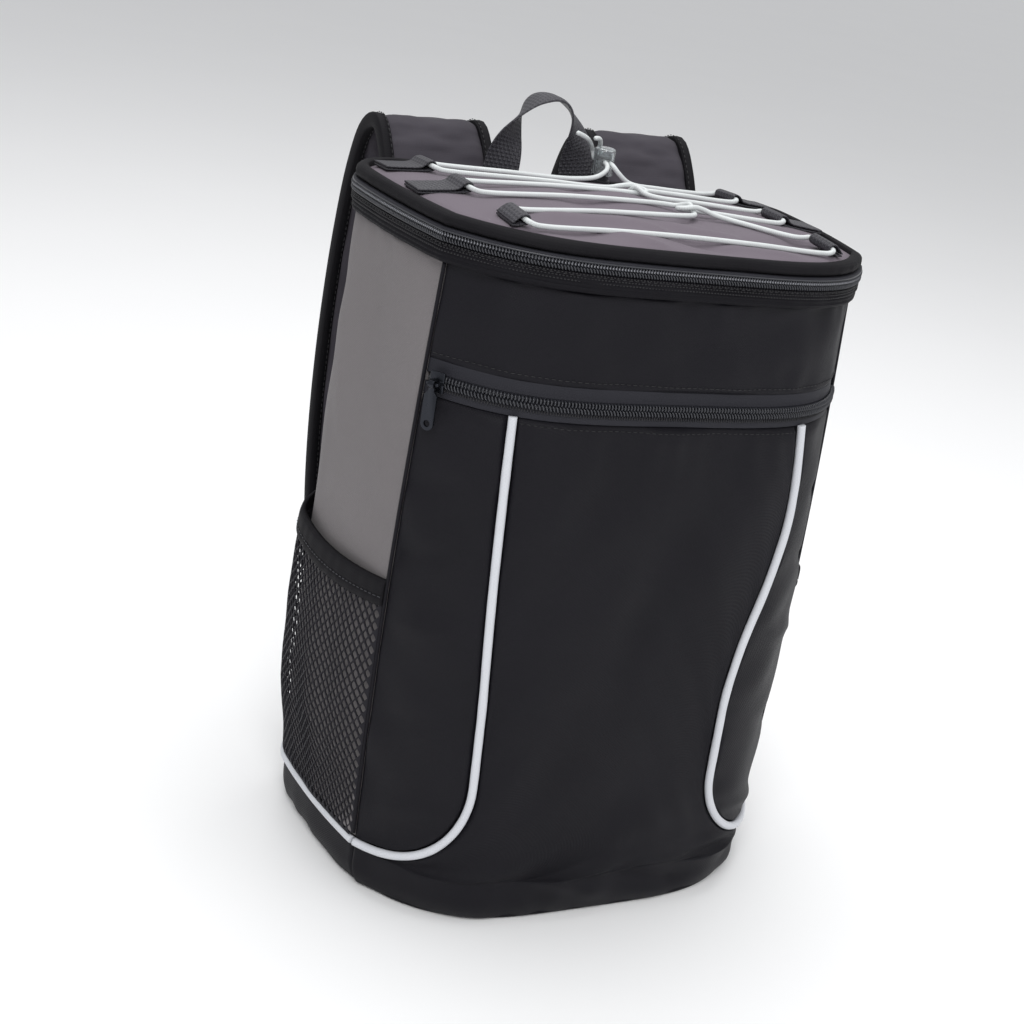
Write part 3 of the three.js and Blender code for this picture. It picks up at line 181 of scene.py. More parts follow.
# The cord's route over the lid in millimetres: x, y and the height of its middle above the lid
CORD_ROUTE = [
    [-1, 87, 31], [8, 90, 28.4], [15, 96, 25], [19.2, 99.6, 21], [20.1, 97, 16.1], [20.1, 88, 14.8],
    [20.1, 80.2, 13.7], [18.6, 76, 10.4], [12, 74.6, 5.6], [-4, 75.4, 2.6], [-50, 78.6, 2.2],
    [-95, 82.6, 2.5],
    [-103, 84.2, 3.2], [-106.4, 82.8, 4.3], [-107, 70, 4.5], [-106.4, 57.2, 4.3], [-103, 55.8, 3.2],
    [-95, 55, 2.5], [-40, 50, 2.2], [4, 45.9, 2.6], [13, 45.4, 4.6], [20, 45.3, 5.8], [26.4, 44.8, 4.6],
    [29.6, 42, 3.6], [26.4, 39.2, 2.4], [20, 38.8, 2.2], [4, 38.4, 2.2], [-40, 34, 2.2], [-95, 29, 2.5],
    [-103, 28.2, 3.2], [-106.4, 26.8, 4.3], [-107, 14, 4.5], [-106.4, 1.2, 4.3], [-103, -0.2, 3.2],
    [-95, -0.4, 2.5], [-40, 6, 2.2], [12, 11.2, 2.2], [24, 11.2, 2.3], [31.6, 8, 2.8], [35.4, 4, 4.8],
    [36.6, 0.3, 5.8], [36.8, -3, 4], [36.4, -6.4, 2.2], [33.4, -12, 2.2], [25, -16.4, 2.2], [-40, -27, 2.2],
    [-90, -35, 2.5], [-97, -35.8, 3.2], [-100.4, -37.2, 4.3], [-101, -50, 4.5], [-100.4, -62.8, 4.3],
    [-97, -64.4, 3.2], [-90, -64.4, 2.5], [-45, -62, 2.2], [0, -61, 2.2], [45, -62, 2.2], [90, -64.4, 2.5],
    [97, -64.4, 3.2], [100.4, -62.8, 4.3], [101, -50, 4.5], [100.4, -37.2, 4.3], [97, -35.8, 3.2],
    [90, -34.6, 2.5], [66, -19, 2.2], [50, -9, 3], [43, -6.8, 4.8], [36.4, -6.4, 5.8], [30, -6, 4.6],
    [26.8, -3, 3.4], [30, 0, 2.4], [36.6, 0.3, 2.2], [50, 0.8, 2.2], [95, -0.4, 2.5], [103, -0.2, 3.2],
    [106.4, 1.2, 4.3],
    [107, 14, 4.5], [106.4, 26.8, 4.3], [103, 28.2, 3.2], [95, 28.8, 2.5], [60, 29.6, 2.2], [32, 30.2, 2.2],
    [24, 33.4, 3.2], [20.4, 38.6, 5.8], [19.8, 42, 4], [20.2, 45.4, 2.2], [24, 50.6, 2.2], [32, 53.8, 2.2],
    [60, 55, 2.2], [95, 55, 2.5], [103, 55.8, 3.2], [106.4, 57.2, 4.3], [107, 70, 4.5], [106.4, 82.8, 4.3],
    [103, 84.2, 3.2], [95, 82.6, 2.5], [60, 79, 2.2], [36, 75.4, 3.6], [27.6, 75.2, 8.6], [24, 77.4, 12.6],
    [23.9, 80.6, 13.8], [23.9, 88, 14.8], [23.9, 97, 16.1], [24.2, 100.2, 20.6], [23.4, 98.6, 25.8],
    [19.4, 93.4, 28.6], [13, 87.6, 28.8],
]

# Cord lock
LOCK_X = 0.022
LOCK_Y = 0.088
LOCK_RADIUS = 0.007
LOCK_HEIGHT = 0.017
LOCK_BORE = 0.005
LOCK_ROOF = LOCK_HEIGHT - 0.0018
LOCK_HOLE_Z = 0.008
LOCK_HOLE_HALF = CORD_RADIUS + 0.00055
LOCK_CORD_SPACING = 0.0038
LOCK_CLEARANCE = 0.00035
BUTTON_TRAVEL = 0.003
BUTTON_HEAD = 0.0026
BUTTON_HEAD_RADIUS = 0.006
LOCK_LIFT = 0.0008 + BUTTON_HEAD + BUTTON_TRAVEL + LOCK_CLEARANCE

# Handle and shoulder straps
WEBBING_WIDTH = 0.025
WEBBING_THICK = 0.002
HANDLE_X = -0.013
HANDLE_HALF_SPAN = 0.027
HANDLE_RISE = 0.062
HANDLE_Y = BACK_Y + RIM_OUT + 0.0005 + WEBBING_THICK / 2
HANDLE_LINE = [[-1, 0], [-1, 0.25], [-0.86, 0.6], [-0.46, 0.92], [0, 1],
               [0.46, 0.92], [0.86, 0.6], [1, 0.25], [1, 0]]
STRAP_THICK = 0.012
STRAP_WIDTH_TOP = 0.074
STRAP_WIDTH_END = 0.056
STRAP_X_TOP = 0.075
STRAP_X_END = 0.090
STRAP_SEAT = STRAP_THICK / 2 + 0.001
# How wide the strap's binding tape laps over its edge, and how far in from the edge that tape folds
STRAP_TAPE = 0.0046
STRAP_TAPE_FOLD = 0.0012
STRAP_REACH = 0.095
STRAP_LINE = [
    {"out": 0, "height": 0.867},
    {"out": 0, "height": 0.925},
    {"out": 0.07, "height": 0.995},
    {"out": 0.23, "height": 1.065},
    {"out": 0.44, "height": 1.108},
    {"out": 0.67, "height": 1.09},
    {"out": 0.85, "height": 1.02},
    {"out": 0.965, "height": 0.905},
    {"out": 1, "height": 0.754},
    {"out": 0.94, "height": 0.59},
    {"out": 0.795, "height": 0.44},
    {"out": 0.6, "height": 0.327},
]

# Camera: where the photograph was taken from, in the part's frame
CAMERA_PLACE = (-0.506, -0.8666, 0.6206)
CAMERA_AZIMUTH = -27.81
CAMERA_ELEVATION = 21.53
CAMERA_ROLL = 9.25
CAMERA_LENS = 59.77
SENSOR_WIDTH = 36.0


def srgb(code):
    """A colour written as six sRGB hex digits, turned to linear red, green and blue."""
    parts = [int(code[i:i + 2], 16) / 255 for i in (1, 3, 5)]
    return tuple(v / 12.92 if v <= 0.04045 else ((v + 0.055) / 1.055) ** 2.4 for v in parts)


def length_property(name, description, default):
    return FloatProperty(name=name, description=description, default=default, unit="LENGTH")


class BackpackSizes(bpy.types.PropertyGroup):
    """Sizes of the sewn detail that a user may change."""
    stitch: length_property("Stitch", "Length of one stitch", 0.0028)
    stitch_gap: length_property("Stitch gap", "Gap between two stitches", 0.0010)
    thread: length_property("Thread", "Thickness of the sewing thread", 0.0006)
    seam_roll: length_property("Seam roll", "How far in from its seam a panel rolls over", 0.0030)
    net_width: length_property("Net cell width", "Width of one cell of the net", 0.0060)
    net_height: length_property("Net cell height", "Height of one cell of the net", 0.0078)
    pocket_tooth: length_property("Pocket coil pitch", "Pitch of the pocket zip's coil", 0.0020)
    rim_tooth: length_property("Rim coil pitch", "Pitch of the lid zip's coil", 0.0018)
    weave: length_property("Weave", "Thread spacing of the cloth as drawn", 0.0009)


def colour_property(name, description, code):
    return FloatVectorProperty(name=name, description=description, default=srgb(code), subtype="COLOR",
                               size=3, min=0, max=1)


class BackpackColours(bpy.types.PropertyGroup):
    """Colours that a user may change."""
    front: colour_property("Front cloth", "Black cloth of the front and the foot", "#151419")
    side: colour_property("Side cloth", "Grey cloth of the side panels", "#736f70")
    lid: colour_property("Lid cloth", "Charcoal cloth of the lid", "#6b636b")
    rim: colour_property("Rim tape", "Black tape round the rim", "#151418")
    piping: colour_property("Piping", "Light cord in the seams", "#c9cbd0")
    tape: colour_property("Zip tape", "Cloth tape that carries a zip's coil", "#25252b")
    coil: colour_property("Zip coil", "Nylon coil of the zips", "#303136")
    # Painted highlight: the pale colour of the coil's heads stands for their glints.
    coil_highlight: colour_property("Coil heads", "Painted highlight on the heads of the lid zip's coil", "#7b7c82")
    metal: colour_property("Zip metal", "Painted slider and pull", "#2b2d33")
    net: colour_property("Net", "Knitted net of the side pockets", "#201f24")
    binding: colour_property("Binding", "Tape on the net pockets' edges", "#171619")
    webbing: colour_property("Webbing", "Ribbed webbing of handle and loops", "#3c3b40")
    cord: colour_property("Elastic cord", "Braided elastic cord on the lid", "#d3d7d7")
    clear: colour_property("Clear plastic", "Barrel of the cord lock", "#e8eef0")
    plastic: colour_property("Black plastic", "Adjusters and the cord lock's button", "#222327")
    strap: colour_property("Strap cloth", "Cloth of the shoulder straps", "#3f3c42")


def sizes():
    return bpy.context.scene.backpack_sizes


def colours():
    return bpy.context.scene.backpack_colours


def lerp(a, b, share):
    return a + (b - a) * share


def smoothstep(share):
    """Rises from 0 to 1 with level ends: 3 times the square less twice the cube."""
    share = np.clip(share, 0, 1)
    return share * share * (3 - 2 * share)


def unit(vectors):
    return vectors / np.linalg.norm(vectors, axis=-1, keepdims=True)


def xyz(x, y, z):
    return np.stack(np.broadcast_arrays(x, y, z), axis=-1).astype(float)


# The body's form

def plan(z, depth):
    """The body's plan at a height: half widths, depth and bulge run straight from foot to top, less the
    depth inside the outer face, plus a belly of half a sine wave, less the tuck at the foot."""
    share = z / BODY_HEIGHT
    back_inset = depth + FOOT_TUCK * np.maximum(0, 1 - z / FOOT_TUCK_HEIGHT) ** 2
    inset = back_inset - BELLY * np.sin(np.pi * np.clip(share, 0, 1))
    side_depth = lerp(BASE_DEPTH - FRONT_BULGE_FOOT, SIDE_DEPTH_TOP, share)
    bulge = lerp(FRONT_BULGE_FOOT, FRONT_BULGE_TOP, share)
    seam_half = lerp(SEAM_HALF_FOOT, SEAM_HALF_TOP, share)
    slope = bulge * FRONT_SQUARENESS / seam_half
    mitre = np.sqrt(1 + slope * slope) - slope
    return {
        "back_inset": back_inset,
        "inset": inset,
        "seam_half": seam_half - inset,
        "rear_half": lerp(REAR_HALF_FOOT, REAR_HALF_TOP, share) - inset,
        "seam_y": BACK_Y - side_depth + mitre * inset,
        "bulge": bulge - (1 - mitre) * inset,
    }


def place(x, y, z):
    """The soft top slants: it stands a little higher on the left, by the square of the height."""
    return xyz(x, y, z - LID_SLANT * x * (z / BODY_HEIGHT) ** 2)


def front_point(f, z, depth=0.0):
    """Front face: f from -1 to 1 across, bowed out by 1 less the size of f to the power of squareness."""
    p = plan(z, depth)
    return place(f * p["seam_half"], p["seam_y"] - p["bulge"] * (1 - np.abs(f) ** FRONT_SQUARENESS), z)


def side_point(side, t, z, depth=0.0):
    """Side face: t from 0 at the back, a quarter ellipse round the rear corner, then a line to 1 at the
    side seam, drawn in by the square of the way."""
    p = plan(z, depth)
    corner_y = BACK_Y - REAR_CORNER
    angle = np.clip(t / CORNER_SHARE, 0, 1) * np.pi / 2
    radius = REAR_CORNER - p["inset"]
    x_corner = p["rear_half"] - radius + radius * np.sin(angle)
    y_corner = corner_y + (REAR_CORNER - p["back_inset"]) * np.cos(angle)
    k = np.clip((t - CORNER_SHARE) / (1 - CORNER_SHARE), 0, 1)
    x = np.where(t < CORNER_SHARE, x_corner, lerp(p["rear_half"], p["seam_half"], k * k))
    y = np.where(t < CORNER_SHARE, y_corner, lerp(corner_y, p["seam_y"], k))
    return place(side * x, y, z)


def back_point(b, z, depth=0.0):
    """Back face: flat, b from -1 to 1 between the rear corners."""
    p = plan(z, depth)
    return place(b * (p["rear_half"] - REAR_CORNER + p["inset"]), BACK_Y - p["back_inset"], z)


OUTLINE_BACK = 30
OUTLINE_SIDE = 56
OUTLINE_FRONT = 150


def outline(z, depth):
    """The whole plan at heights z and depths as closed loops: back, left side, front and right side."""
    z = np.atleast_1d(z)[:, None]
    depth = np.atleast_1d(depth)[:, None]
    b = np.linspace(1, -1, OUTLINE_BACK, endpoint=False)
    t = np.linspace(0, 1, OUTLINE_SIDE, endpoint=False)
    f = np.sin(np.linspace(-1.35, 1.35, OUTLINE_FRONT, endpoint=False)) / math.sin(1.35)
    return np.concatenate([
        back_point(b, z, depth),
        side_point(LEFT, t, z, depth),
        front_point(f, z, depth),
        side_point(RIGHT, 1 - t, z, depth),
    ], axis=1)


def lid_height(x, y):
    """The lid's crown: 1 less a power of the share of the half width, times the same along its depth."""
    across = 1 - np.minimum(1, np.abs(x / LID_HALF_WIDTH)) ** LID_CROWN_POWER
    along = 1 - np.minimum(1, np.abs((y - LID_MIDDLE_Y) / LID_HALF_DEPTH)) ** LID_CROWN_POWER
    return LID_EDGE_Z + LID_CROWN * across * along


def lid_point(x, y, lift=0.0):
    return place(x, y, lid_height(x, y) + lift)


# Curves and grids

def catmull(points, steps, power=0.5):
    """A smooth curve through its points: cubic pieces whose knots are spaced by a power of the distances,
    half for the centripetal kind and 0 for the even one, with `steps` samples from point to point."""
    points = np.asarray(points, float)
    points = np.concatenate([[2 * points[0] - points[1]], points, [2 * points[-1] - points[-2]]])
    gaps = np.maximum(np.linalg.norm(np.diff(points, axis=0), axis=1), 1e-9) ** power
    p0, p1, p2, p3 = points[:-3], points[1:-2], points[2:-1], points[3:]
    g0, g1, g2 = gaps[:-2, None], gaps[1:-1, None], gaps[2:, None]
    m1 = ((p1 - p0) / g0 - (p2 - p0) / (g0 + g1) + (p2 - p1) / g1) * g1
    m2 = ((p2 - p1) / g1 - (p3 - p1) / (g1 + g2) + (p3 - p2) / g2) * g1
    u = np.arange(steps)[None, :, None] / steps
    p1, p2, m1, m2 = (v[:, None] for v in (p1, p2, m1, m2))
    curve = ((2 * u ** 3 - 3 * u ** 2 + 1) * p1 + (u ** 3 - 2 * u ** 2 + u) * m1
             + (-2 * u ** 3 + 3 * u ** 2) * p2 + (u ** 3 - u ** 2) * m2)
    return np.concatenate([curve.reshape(-1, points.shape[1]), [points[-2]]])


def lengths(path):
    """The distance from the start to each point of a path."""
    return np.concatenate([[0], np.cumsum(np.linalg.norm(np.diff(path, axis=0), axis=1))])


def values_at(places, run, values):
    """A path's values at some places, by linear steps between the distances of its points."""
    return np.stack([np.interp(places, run, values[:, i]) for i in range(values.shape[1])], -1)


def resample(path, count):
    """The same path as evenly spaced points."""
    run = lengths(path)
    return values_at(np.linspace(0, run[-1], count), run, path)


def tangents(path):
    return unit(np.gradient(path, axis=0))


def spans(grid):
    """Distances along a grid's rows and up its columns, as two arrays of its shape."""
    across = np.zeros(grid.shape[:2])
    across[:, 1:] = np.cumsum(np.linalg.norm(np.diff(grid, axis=1), axis=-1), axis=1)
    along = np.zeros(grid.shape[:2])
    along[1:] = np.cumsum(np.linalg.norm(np.diff(grid, axis=0), axis=-1), axis=0)
    return across, along


def grid_normals(grid, ring=False):
    """Unit normals of a grid: the cross product of its two directions, pointing away from the z axis."""
    if ring:
        across = np.roll(grid, -1, axis=1) - np.roll(grid, 1, axis=1)
    else:
        across = np.gradient(grid, axis=1)
    normal = unit(np.cross(across, np.gradient(grid, axis=0)))
    return -normal if np.sum(normal[..., :2] * grid[..., :2]) < 0 else normal


def wall_normals(path):
    """Outward normals of the upright wall that stands on a path."""
    return grid_normals(np.stack([path, path + (0, 0, 0.001)]))[0]


def edge_shares(length, count):
    """Even shares from 0 to 1 with extra ones close to both ends, where a panel rolls into its seam."""
    near = np.array([0.0003, 0.0007, 0.0012, 0.0018, 0.0025, 0.0034, 0.0046]) / length
    even = np.linspace(0, 1, count + 1)
    even = even[(even > near[-1] * 1.2) & (even < 1 - near[-1] * 1.2)]
    return np.concatenate([[0], near, even, 1 - near[::-1], [1]])


def edge_steps(low, high, count):
    """The same shares as heights from low to high."""
    return lerp(low, high, edge_shares(high - low, count))


def waves(a, b, seed, length, height):
    """Loose cloth: a sum of seven sine waves with seeded directions, phases and lengths near `length`."""
    rng = np.random.default_rng(seed)
    total = np.zeros(np.broadcast(a, b).shape)
    for _ in range(7):
        angle, phase = rng.uniform(0, 2 * np.pi, 2)
        stretch = rng.uniform(0.6, 1.7)
        total += np.sin((a * np.cos(angle) + b * np.sin(angle)) * 2 * np.pi * stretch / length + phase)
    return height * total / 7 ** 0.5


def puckers(along, distance, seed, pitch, reach, height):
    """Gathers along a seam: a sine along it with a wandering phase, fading with the distance from it."""
    wander = waves(along, 0 * along, seed, pitch * 5, 2.0)
    return height * np.sin(along * 2 * np.pi / pitch + wander) * np.exp(-distance / reach)


def creases(u, v, rows):
    """Folds between two points, in shares of the panel: a bell-shaped ridge across, faded at both ends.
    Each row holds start, end, width in metres and height in metres, below 0 for a dent."""
    total = np.zeros(u.shape)
    wide, tall = u.max(), v.max()
    for row in rows:
        start = np.array(row["start"]) * (wide, tall)
        end = np.array(row["end"]) * (wide, tall)
        run = np.linalg.norm(end - start)
        way = (end - start) / run
        along = ((u - start[0]) * way[0] + (v - start[1]) * way[1]) / run
        off = -(u - start[0]) * way[1] + (v - start[1]) * way[0]
        fade = smoothstep(along * 3 + 0.3) * smoothstep((1 - along) * 3 + 0.3)
        total += row["height"] * fade * np.exp(-(off / row["width"]) ** 2)
    return total


def seam_drop(distance, reach):
    """A quarter round at a sewn edge: how far the face has dropped at a distance from the edge."""
    inside = np.clip(1 - distance / reach, 0, 1)
    return 0.75 * reach * (1 - np.sqrt(1 - inside * inside))


# Meshes

def grid_faces(rows, cols, ring=False):
    """Quads of a grid of rows and columns, closed along its rows where ring is true."""
    row = np.arange(rows - 1)[:, None] * cols
    col = np.arange(cols if ring else cols - 1)[None]
    after = (col + 1) % cols
    return np.stack([row + col, row + after, row + cols + after, row + cols + col], -1).reshape(-1, 4)


def tube_faces(rows, cols):
    """The quads of a grid closed along its rows, and a cap on its first and its last row."""
    end = np.arange(cols)[None]
    return [grid_faces(rows, cols, ring=True), end[:, ::-1], end + (rows - 1) * cols]


def volume_sign(points, faces):
    """The sign of the volume that the faces enclose: each one fanned from its first corner."""
    total = 0.0
    for group in faces:
        for i in range(1, group.shape[1] - 1):
            a, b, c = points[group[:, 0]], points[group[:, i]], points[group[:, i + 1]]
            total += np.sum(a * np.cross(b, c))
    return np.sign(total)


def add_object(name, data):
    """An object of a mesh, light or camera, in the scene."""
    thing = bpy.data.objects.new(name, data)
    bpy.context.scene.collection.objects.link(thing)
    return thing


@contextmanager
def edit_mesh(mesh):
    """The mesh as a bmesh, which is written back at the end."""
    work = bmesh.new()
    work.from_mesh(mesh)
    yield work
    work.to_mesh(mesh)
    work.free()


def mesh_points(mesh):
    points = np.empty(len(mesh.vertices) * 3)
    mesh.vertices.foreach_get("co", points)
    return points.reshape(-1, 3)


def apply_modifiers(piece):
    """Makes the result of a piece's modifiers its mesh."""
    graph = bpy.context.evaluated_depsgraph_get()
    mesh = bpy.data.meshes.new_from_object(piece.evaluated_get(graph))
    piece.modifiers.clear()
    piece.data = mesh
    return mesh


def new_piece(name, points, faces, finish, replaces=(), uv=None, body="body", closed=True):
    """A mesh object from points and groups of equal faces, with its faces turned outwards, its UV map in
    metres, its finish, its body and the nodes that it stands for."""
    points = np.asarray(points, float).reshape(-1, 3)
    faces = [np.asarray(group) for group in faces]
    if closed and volume_sign(points, faces) < 0:
        faces = [group[:, ::-1] for group in faces]
    corners = np.concatenate([group.ravel() for group in faces])
    sides = np.concatenate([np.full(len(group), group.shape[1]) for group in faces])
    mesh = bpy.data.meshes.new(name)
    mesh.vertices.add(len(points))
    mesh.vertices.foreach_set("co", points.ravel())
    mesh.loops.add(len(corners))
    mesh.loops.foreach_set("vertex_index", corners.astype(np.int32))
    mesh.polygons.add(len(sides))
    mesh.polygons.foreach_set("loop_start", np.concatenate([[0], np.cumsum(sides)[:-1]]).astype(np.int32))
    mesh.polygons.foreach_set("use_smooth", np.ones(len(sides), bool))
    mesh.update(calc_edges=True)
    if uv is not None:
        layer = mesh.uv_layers.new(name="cloth")
        layer.data.foreach_set("uv", np.asarray(uv, float).reshape(-1, 2)[corners].ravel())
    mesh.materials.append(MATERIALS[finish])
    return dress(add_object(name, mesh), replaces, body)


def add_shape(name, shape, finish, replaces=()):
    """A piece from the points, faces and UV of one shape, in one of the finishes."""
    points, faces, uv = shape
    return new_piece(name, points, faces, finish, replaces, uv=uv)


def dress(piece, replaces=(), body="body"):
    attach(piece, body)
    if replaces:
        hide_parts(*replaces)
    return piece


def shell(outer, inner):
    """A closed sheet: an outer grid, an inner grid and a strip of quads round their four edges."""
    rows, cols = outer.shape[:2]
    index = np.arange(rows * cols).reshape(rows, cols)
    ring = np.concatenate([index[0], index[1:, -1], index[-1, -2::-1], index[-2:0:-1, 0]])
    after = np.roll(ring, -1)
    size = rows * cols
    strip = np.stack([ring, ring + size, after + size, after], -1)
    faces = grid_faces(rows, cols)
    points = np.concatenate([outer.reshape(-1, 3), inner.reshape(-1, 3)])
    return points, [faces, faces[:, ::-1] + size, strip]


# Each panel's folded face, its normals and its heights, for the rows of stitches on it
FACES = {}


def panel(name, surface, finish, replaces, relief=None, thick=WALL, roll=None):
    """A padded cloth panel over a grid of its outer face: the face rolls down at its four seams and
    carries a relief of folds, and the inner face lies a wall's thickness behind it."""
    across, along = spans(surface)
    normals = grid_normals(surface)
    edge = np.minimum(np.minimum(across, across[:, -1:] - across), np.minimum(along, along[-1:] - along))
    lift = -seam_drop(edge, roll or sizes().seam_roll)
    if relief is not None:
        lift = lift + relief(across, along) * smoothstep(edge / RELIEF_FADE)
    outer = surface + normals * lift[..., None]
    points, faces = shell(outer, surface - normals * thick)
    points[:, 2] = np.maximum(points[:, 2], 0)
    FACES[name] = outer, normals, along
    uv = np.stack([across, along], -1).reshape(-1, 2)
    return new_piece(name, points, faces, finish, replaces, np.concatenate([uv, uv]))


def sewn_line(name, distance):
    """The line on a panel's folded face at a distance from its lower edge, or from its upper edge where
    the distance is below 0, raised by a third of a thread, and the face's normals along it."""
    outer, normals, along = FACES[name]
    height = along.mean(axis=1)
    at = np.interp(distance % height[-1], height, np.arange(len(height)))
    row = int(at)
    path = lerp(outer[row], outer[row + 1], at - row)
    return path + normals[row] * sizes().thread / 3, normals[row]


def sweep(path, a, b, section):
    """A section of (x, y) points carried along a path, x on the first direction and y on the second.
    Section may be one outline or one for each station."""
    section = np.asarray(section, float)
    if section.ndim == 2:
        section = np.broadcast_to(section, (len(path),) + section.shape)
    grid = path[:, None] + a[:, None] * section[..., :1] + b[:, None] * section[..., 1:]
    rows, cols = grid.shape[:2]
    girth = np.concatenate([[0], np.cumsum(np.linalg.norm(np.diff(section[0], axis=0), axis=1))])
    uv = np.stack(np.broadcast_arrays(girth[None], lengths(path)[:, None]), -1)
    return grid.reshape(-1, 3), tube_faces(rows, cols), uv.reshape(-1, 2)


def circle(radius, count):
    angle = np.linspace(0, 2 * np.pi, count, endpoint=False)
    return radius * np.stack([np.cos(angle), np.sin(angle)], -1)


def flat_section(width, thick, count=40):
    """A flat band's outline: an ellipse squared off by raising its sine and cosine to a low power."""
    angle = np.linspace(0, 2 * np.pi, count, endpoint=False) + np.pi / count
    x, y = np.cos(angle), np.sin(angle)
    across = np.sign(x) * np.abs(x) ** 0.35
    up = np.sign(y) * np.abs(y) ** 0.45
    return np.stack([across * width / 2, up * thick / 2], -1)


def joined(parts):
    """Several lists of points, faces and UV as one."""
    points, faces, uv, start = [], [], [], 0
    for part_points, part_faces, part_uv in parts:
        points.append(part_points)
        faces += [group + start for group in part_faces]
        uv.append(part_uv)
        start += len(part_points)
    return np.concatenate(points), faces, np.concatenate(uv)


def spindles(middle, way, out, length, thick):
    """Many small rounded spindles in one mesh, each on its middle, along its way, with its outward side."""
    ring = circle(thick / 2, 5)
    spindle = np.concatenate([
        [[-length / 2, 0, 0]],
        np.column_stack([np.full(5, -length * 0.3), ring]),
        np.column_stack([np.full(5, length * 0.3), ring]),
        [[length / 2, 0, 0]],
    ])
    at = np.arange(5)
    after = (at + 1) % 5
    tips = np.concatenate([np.stack([0 * at, at + 1, after + 1], -1),
                           np.stack([0 * at + 11, after + 6, at + 6], -1)])
    sides = np.stack([at + 1, at + 6, after + 6, after + 1], -1)
    middle, way, out = middle[:, None], unit(way)[:, None], unit(out)[:, None]
    points = (middle + way * spindle[None, :, :1] + out * spindle[None, :, 1:2]
              + np.cross(way, out) * spindle[None, :, 2:])
    start = (np.arange(len(middle)) * len(spindle))[:, None, None]
    faces = [(tips[None] + start).reshape(-1, 3), (sides[None] + start).reshape(-1, 4)]
    return points.reshape(-1, 3), faces, np.zeros((points.shape[0] * points.shape[1], 2))


def along_path(path, start, pitch, *values):
    """Places at an even pitch along a path, and other values of the path at those places."""
    run = lengths(path)
    at = np.arange(start, run[-1], pitch)
    return [values_at(at, run, v) for v in (path,) + values]


def stitches(rows):
    """Rows of stitches: each a spindle laid along its path. A row is a path and its normals."""
    length, pitch = sizes().stitch, sizes().stitch + sizes().stitch_gap
    placed = [along_path(path, length, pitch, tangents(path), normals) for path, normals in rows]
    middle, way, out = (np.concatenate(v) for v in zip(*placed))
    return spindles(middle, way, out, length, sizes().thread)


# Materials

def feed(tree, socket, value):
    """Sets a node's socket to a value, or links it to another node's socket."""
    if isinstance(value, bpy.types.NodeSocket):
        tree.links.new(value, socket)
    else:
        socket.default_value = value


def set_inputs(tree, node, inputs):
    for name, value in inputs.items():
        feed(tree, node.inputs[name], value)


def add_node(tree, kind, inputs=None, **settings):
    """Adds a shader node of a kind with its settings, and sets or links its inputs."""
    made = tree.nodes.new("ShaderNode" + kind)
    for name, value in settings.items():
        setattr(made, name, value)
    set_inputs(tree, made, inputs or {})
    return made


def new_material(name):
    material = bpy.data.materials.new(name)
    material.use_nodes = True
    tree = material.node_tree
    tree.nodes.clear()
    shader = add_node(tree, "BsdfPrincipled")
    add_node(tree, "OutputMaterial", {"Surface": shader.outputs["BSDF"]})
    return material, tree, shader


def math_node(tree, operation, a, b):
    made = add_node(tree, "Math", operation=operation)
    feed(tree, made.inputs[0], a)
    feed(tree, made.inputs[1], b)
    return made.outputs[0]


def noise_node(tree, scale, detail=2.0, roughness=0.5):
    """Noise in the piece's own space."""
    here = add_node(tree, "TexCoord").outputs["Object"]
    return add_node(tree, "TexNoise", {"Vector": here, "Scale": scale, "Detail": detail,
                                       "Roughness": roughness}).outputs["Fac"]


def bump_node(tree, height, strength, distance):
    return add_node(tree, "Bump", {"Height": height, "Strength": strength, "Distance": distance}).outputs[0]


def rough_node(tree, noise, roughness, spread):
    """Roughness that follows a noise from low to high."""
    return add_node(tree, "MapRange", {"Value": noise, "To Min": roughness - spread,
                                       "To Max": roughness + spread}).outputs[0]


def plain_weave(tree, vector, across, along):
    """Threads over and under: rounded bands both ways, and a chequer that picks which one lies on top."""
    mapped = add_node(tree, "Mapping", {"Vector": vector, "Scale": (1 / across, 1 / along, 1)}).outputs[0]
    over = add_node(tree, "TexChecker", {"Vector": mapped, "Scale": 1.0}).outputs["Fac"]
    mixed = add_node(tree, "Mix", {"Factor": over})
    for socket, direction in ((2, "X"), (3, "Y")):
        threads = add_node(tree, "TexWave", {"Vector": mapped, "Scale": math.pi / 10},
                           bands_direction=direction)
        tree.links.new(threads.outputs["Fac"], mixed.inputs[socket])
    return mixed.outputs[0]


def tinted(tree, colour, factor, dark, light):
    """The colour times dark to light by the factor, as a colour ramp."""
    ramp = add_node(tree, "ValToRGB", {"Fac": factor})
    ramp.color_ramp.elements[0].color = tuple(min(1, v * dark) for v in colour) + (1,)
    ramp.color_ramp.elements[1].color = tuple(min(1, v * light) for v in colour) + (1,)
    return ramp.outputs["Color"]


def mixed_colour(tree, a, b, factor):
    mixed = add_node(tree, "Mix", data_type="RGBA", blend_type="MIX")
    tree.links.new(factor, mixed.inputs[0])
    tree.links.new(a, mixed.inputs[6])
    tree.links.new(b, mixed.inputs[7])
    return mixed.outputs[2]


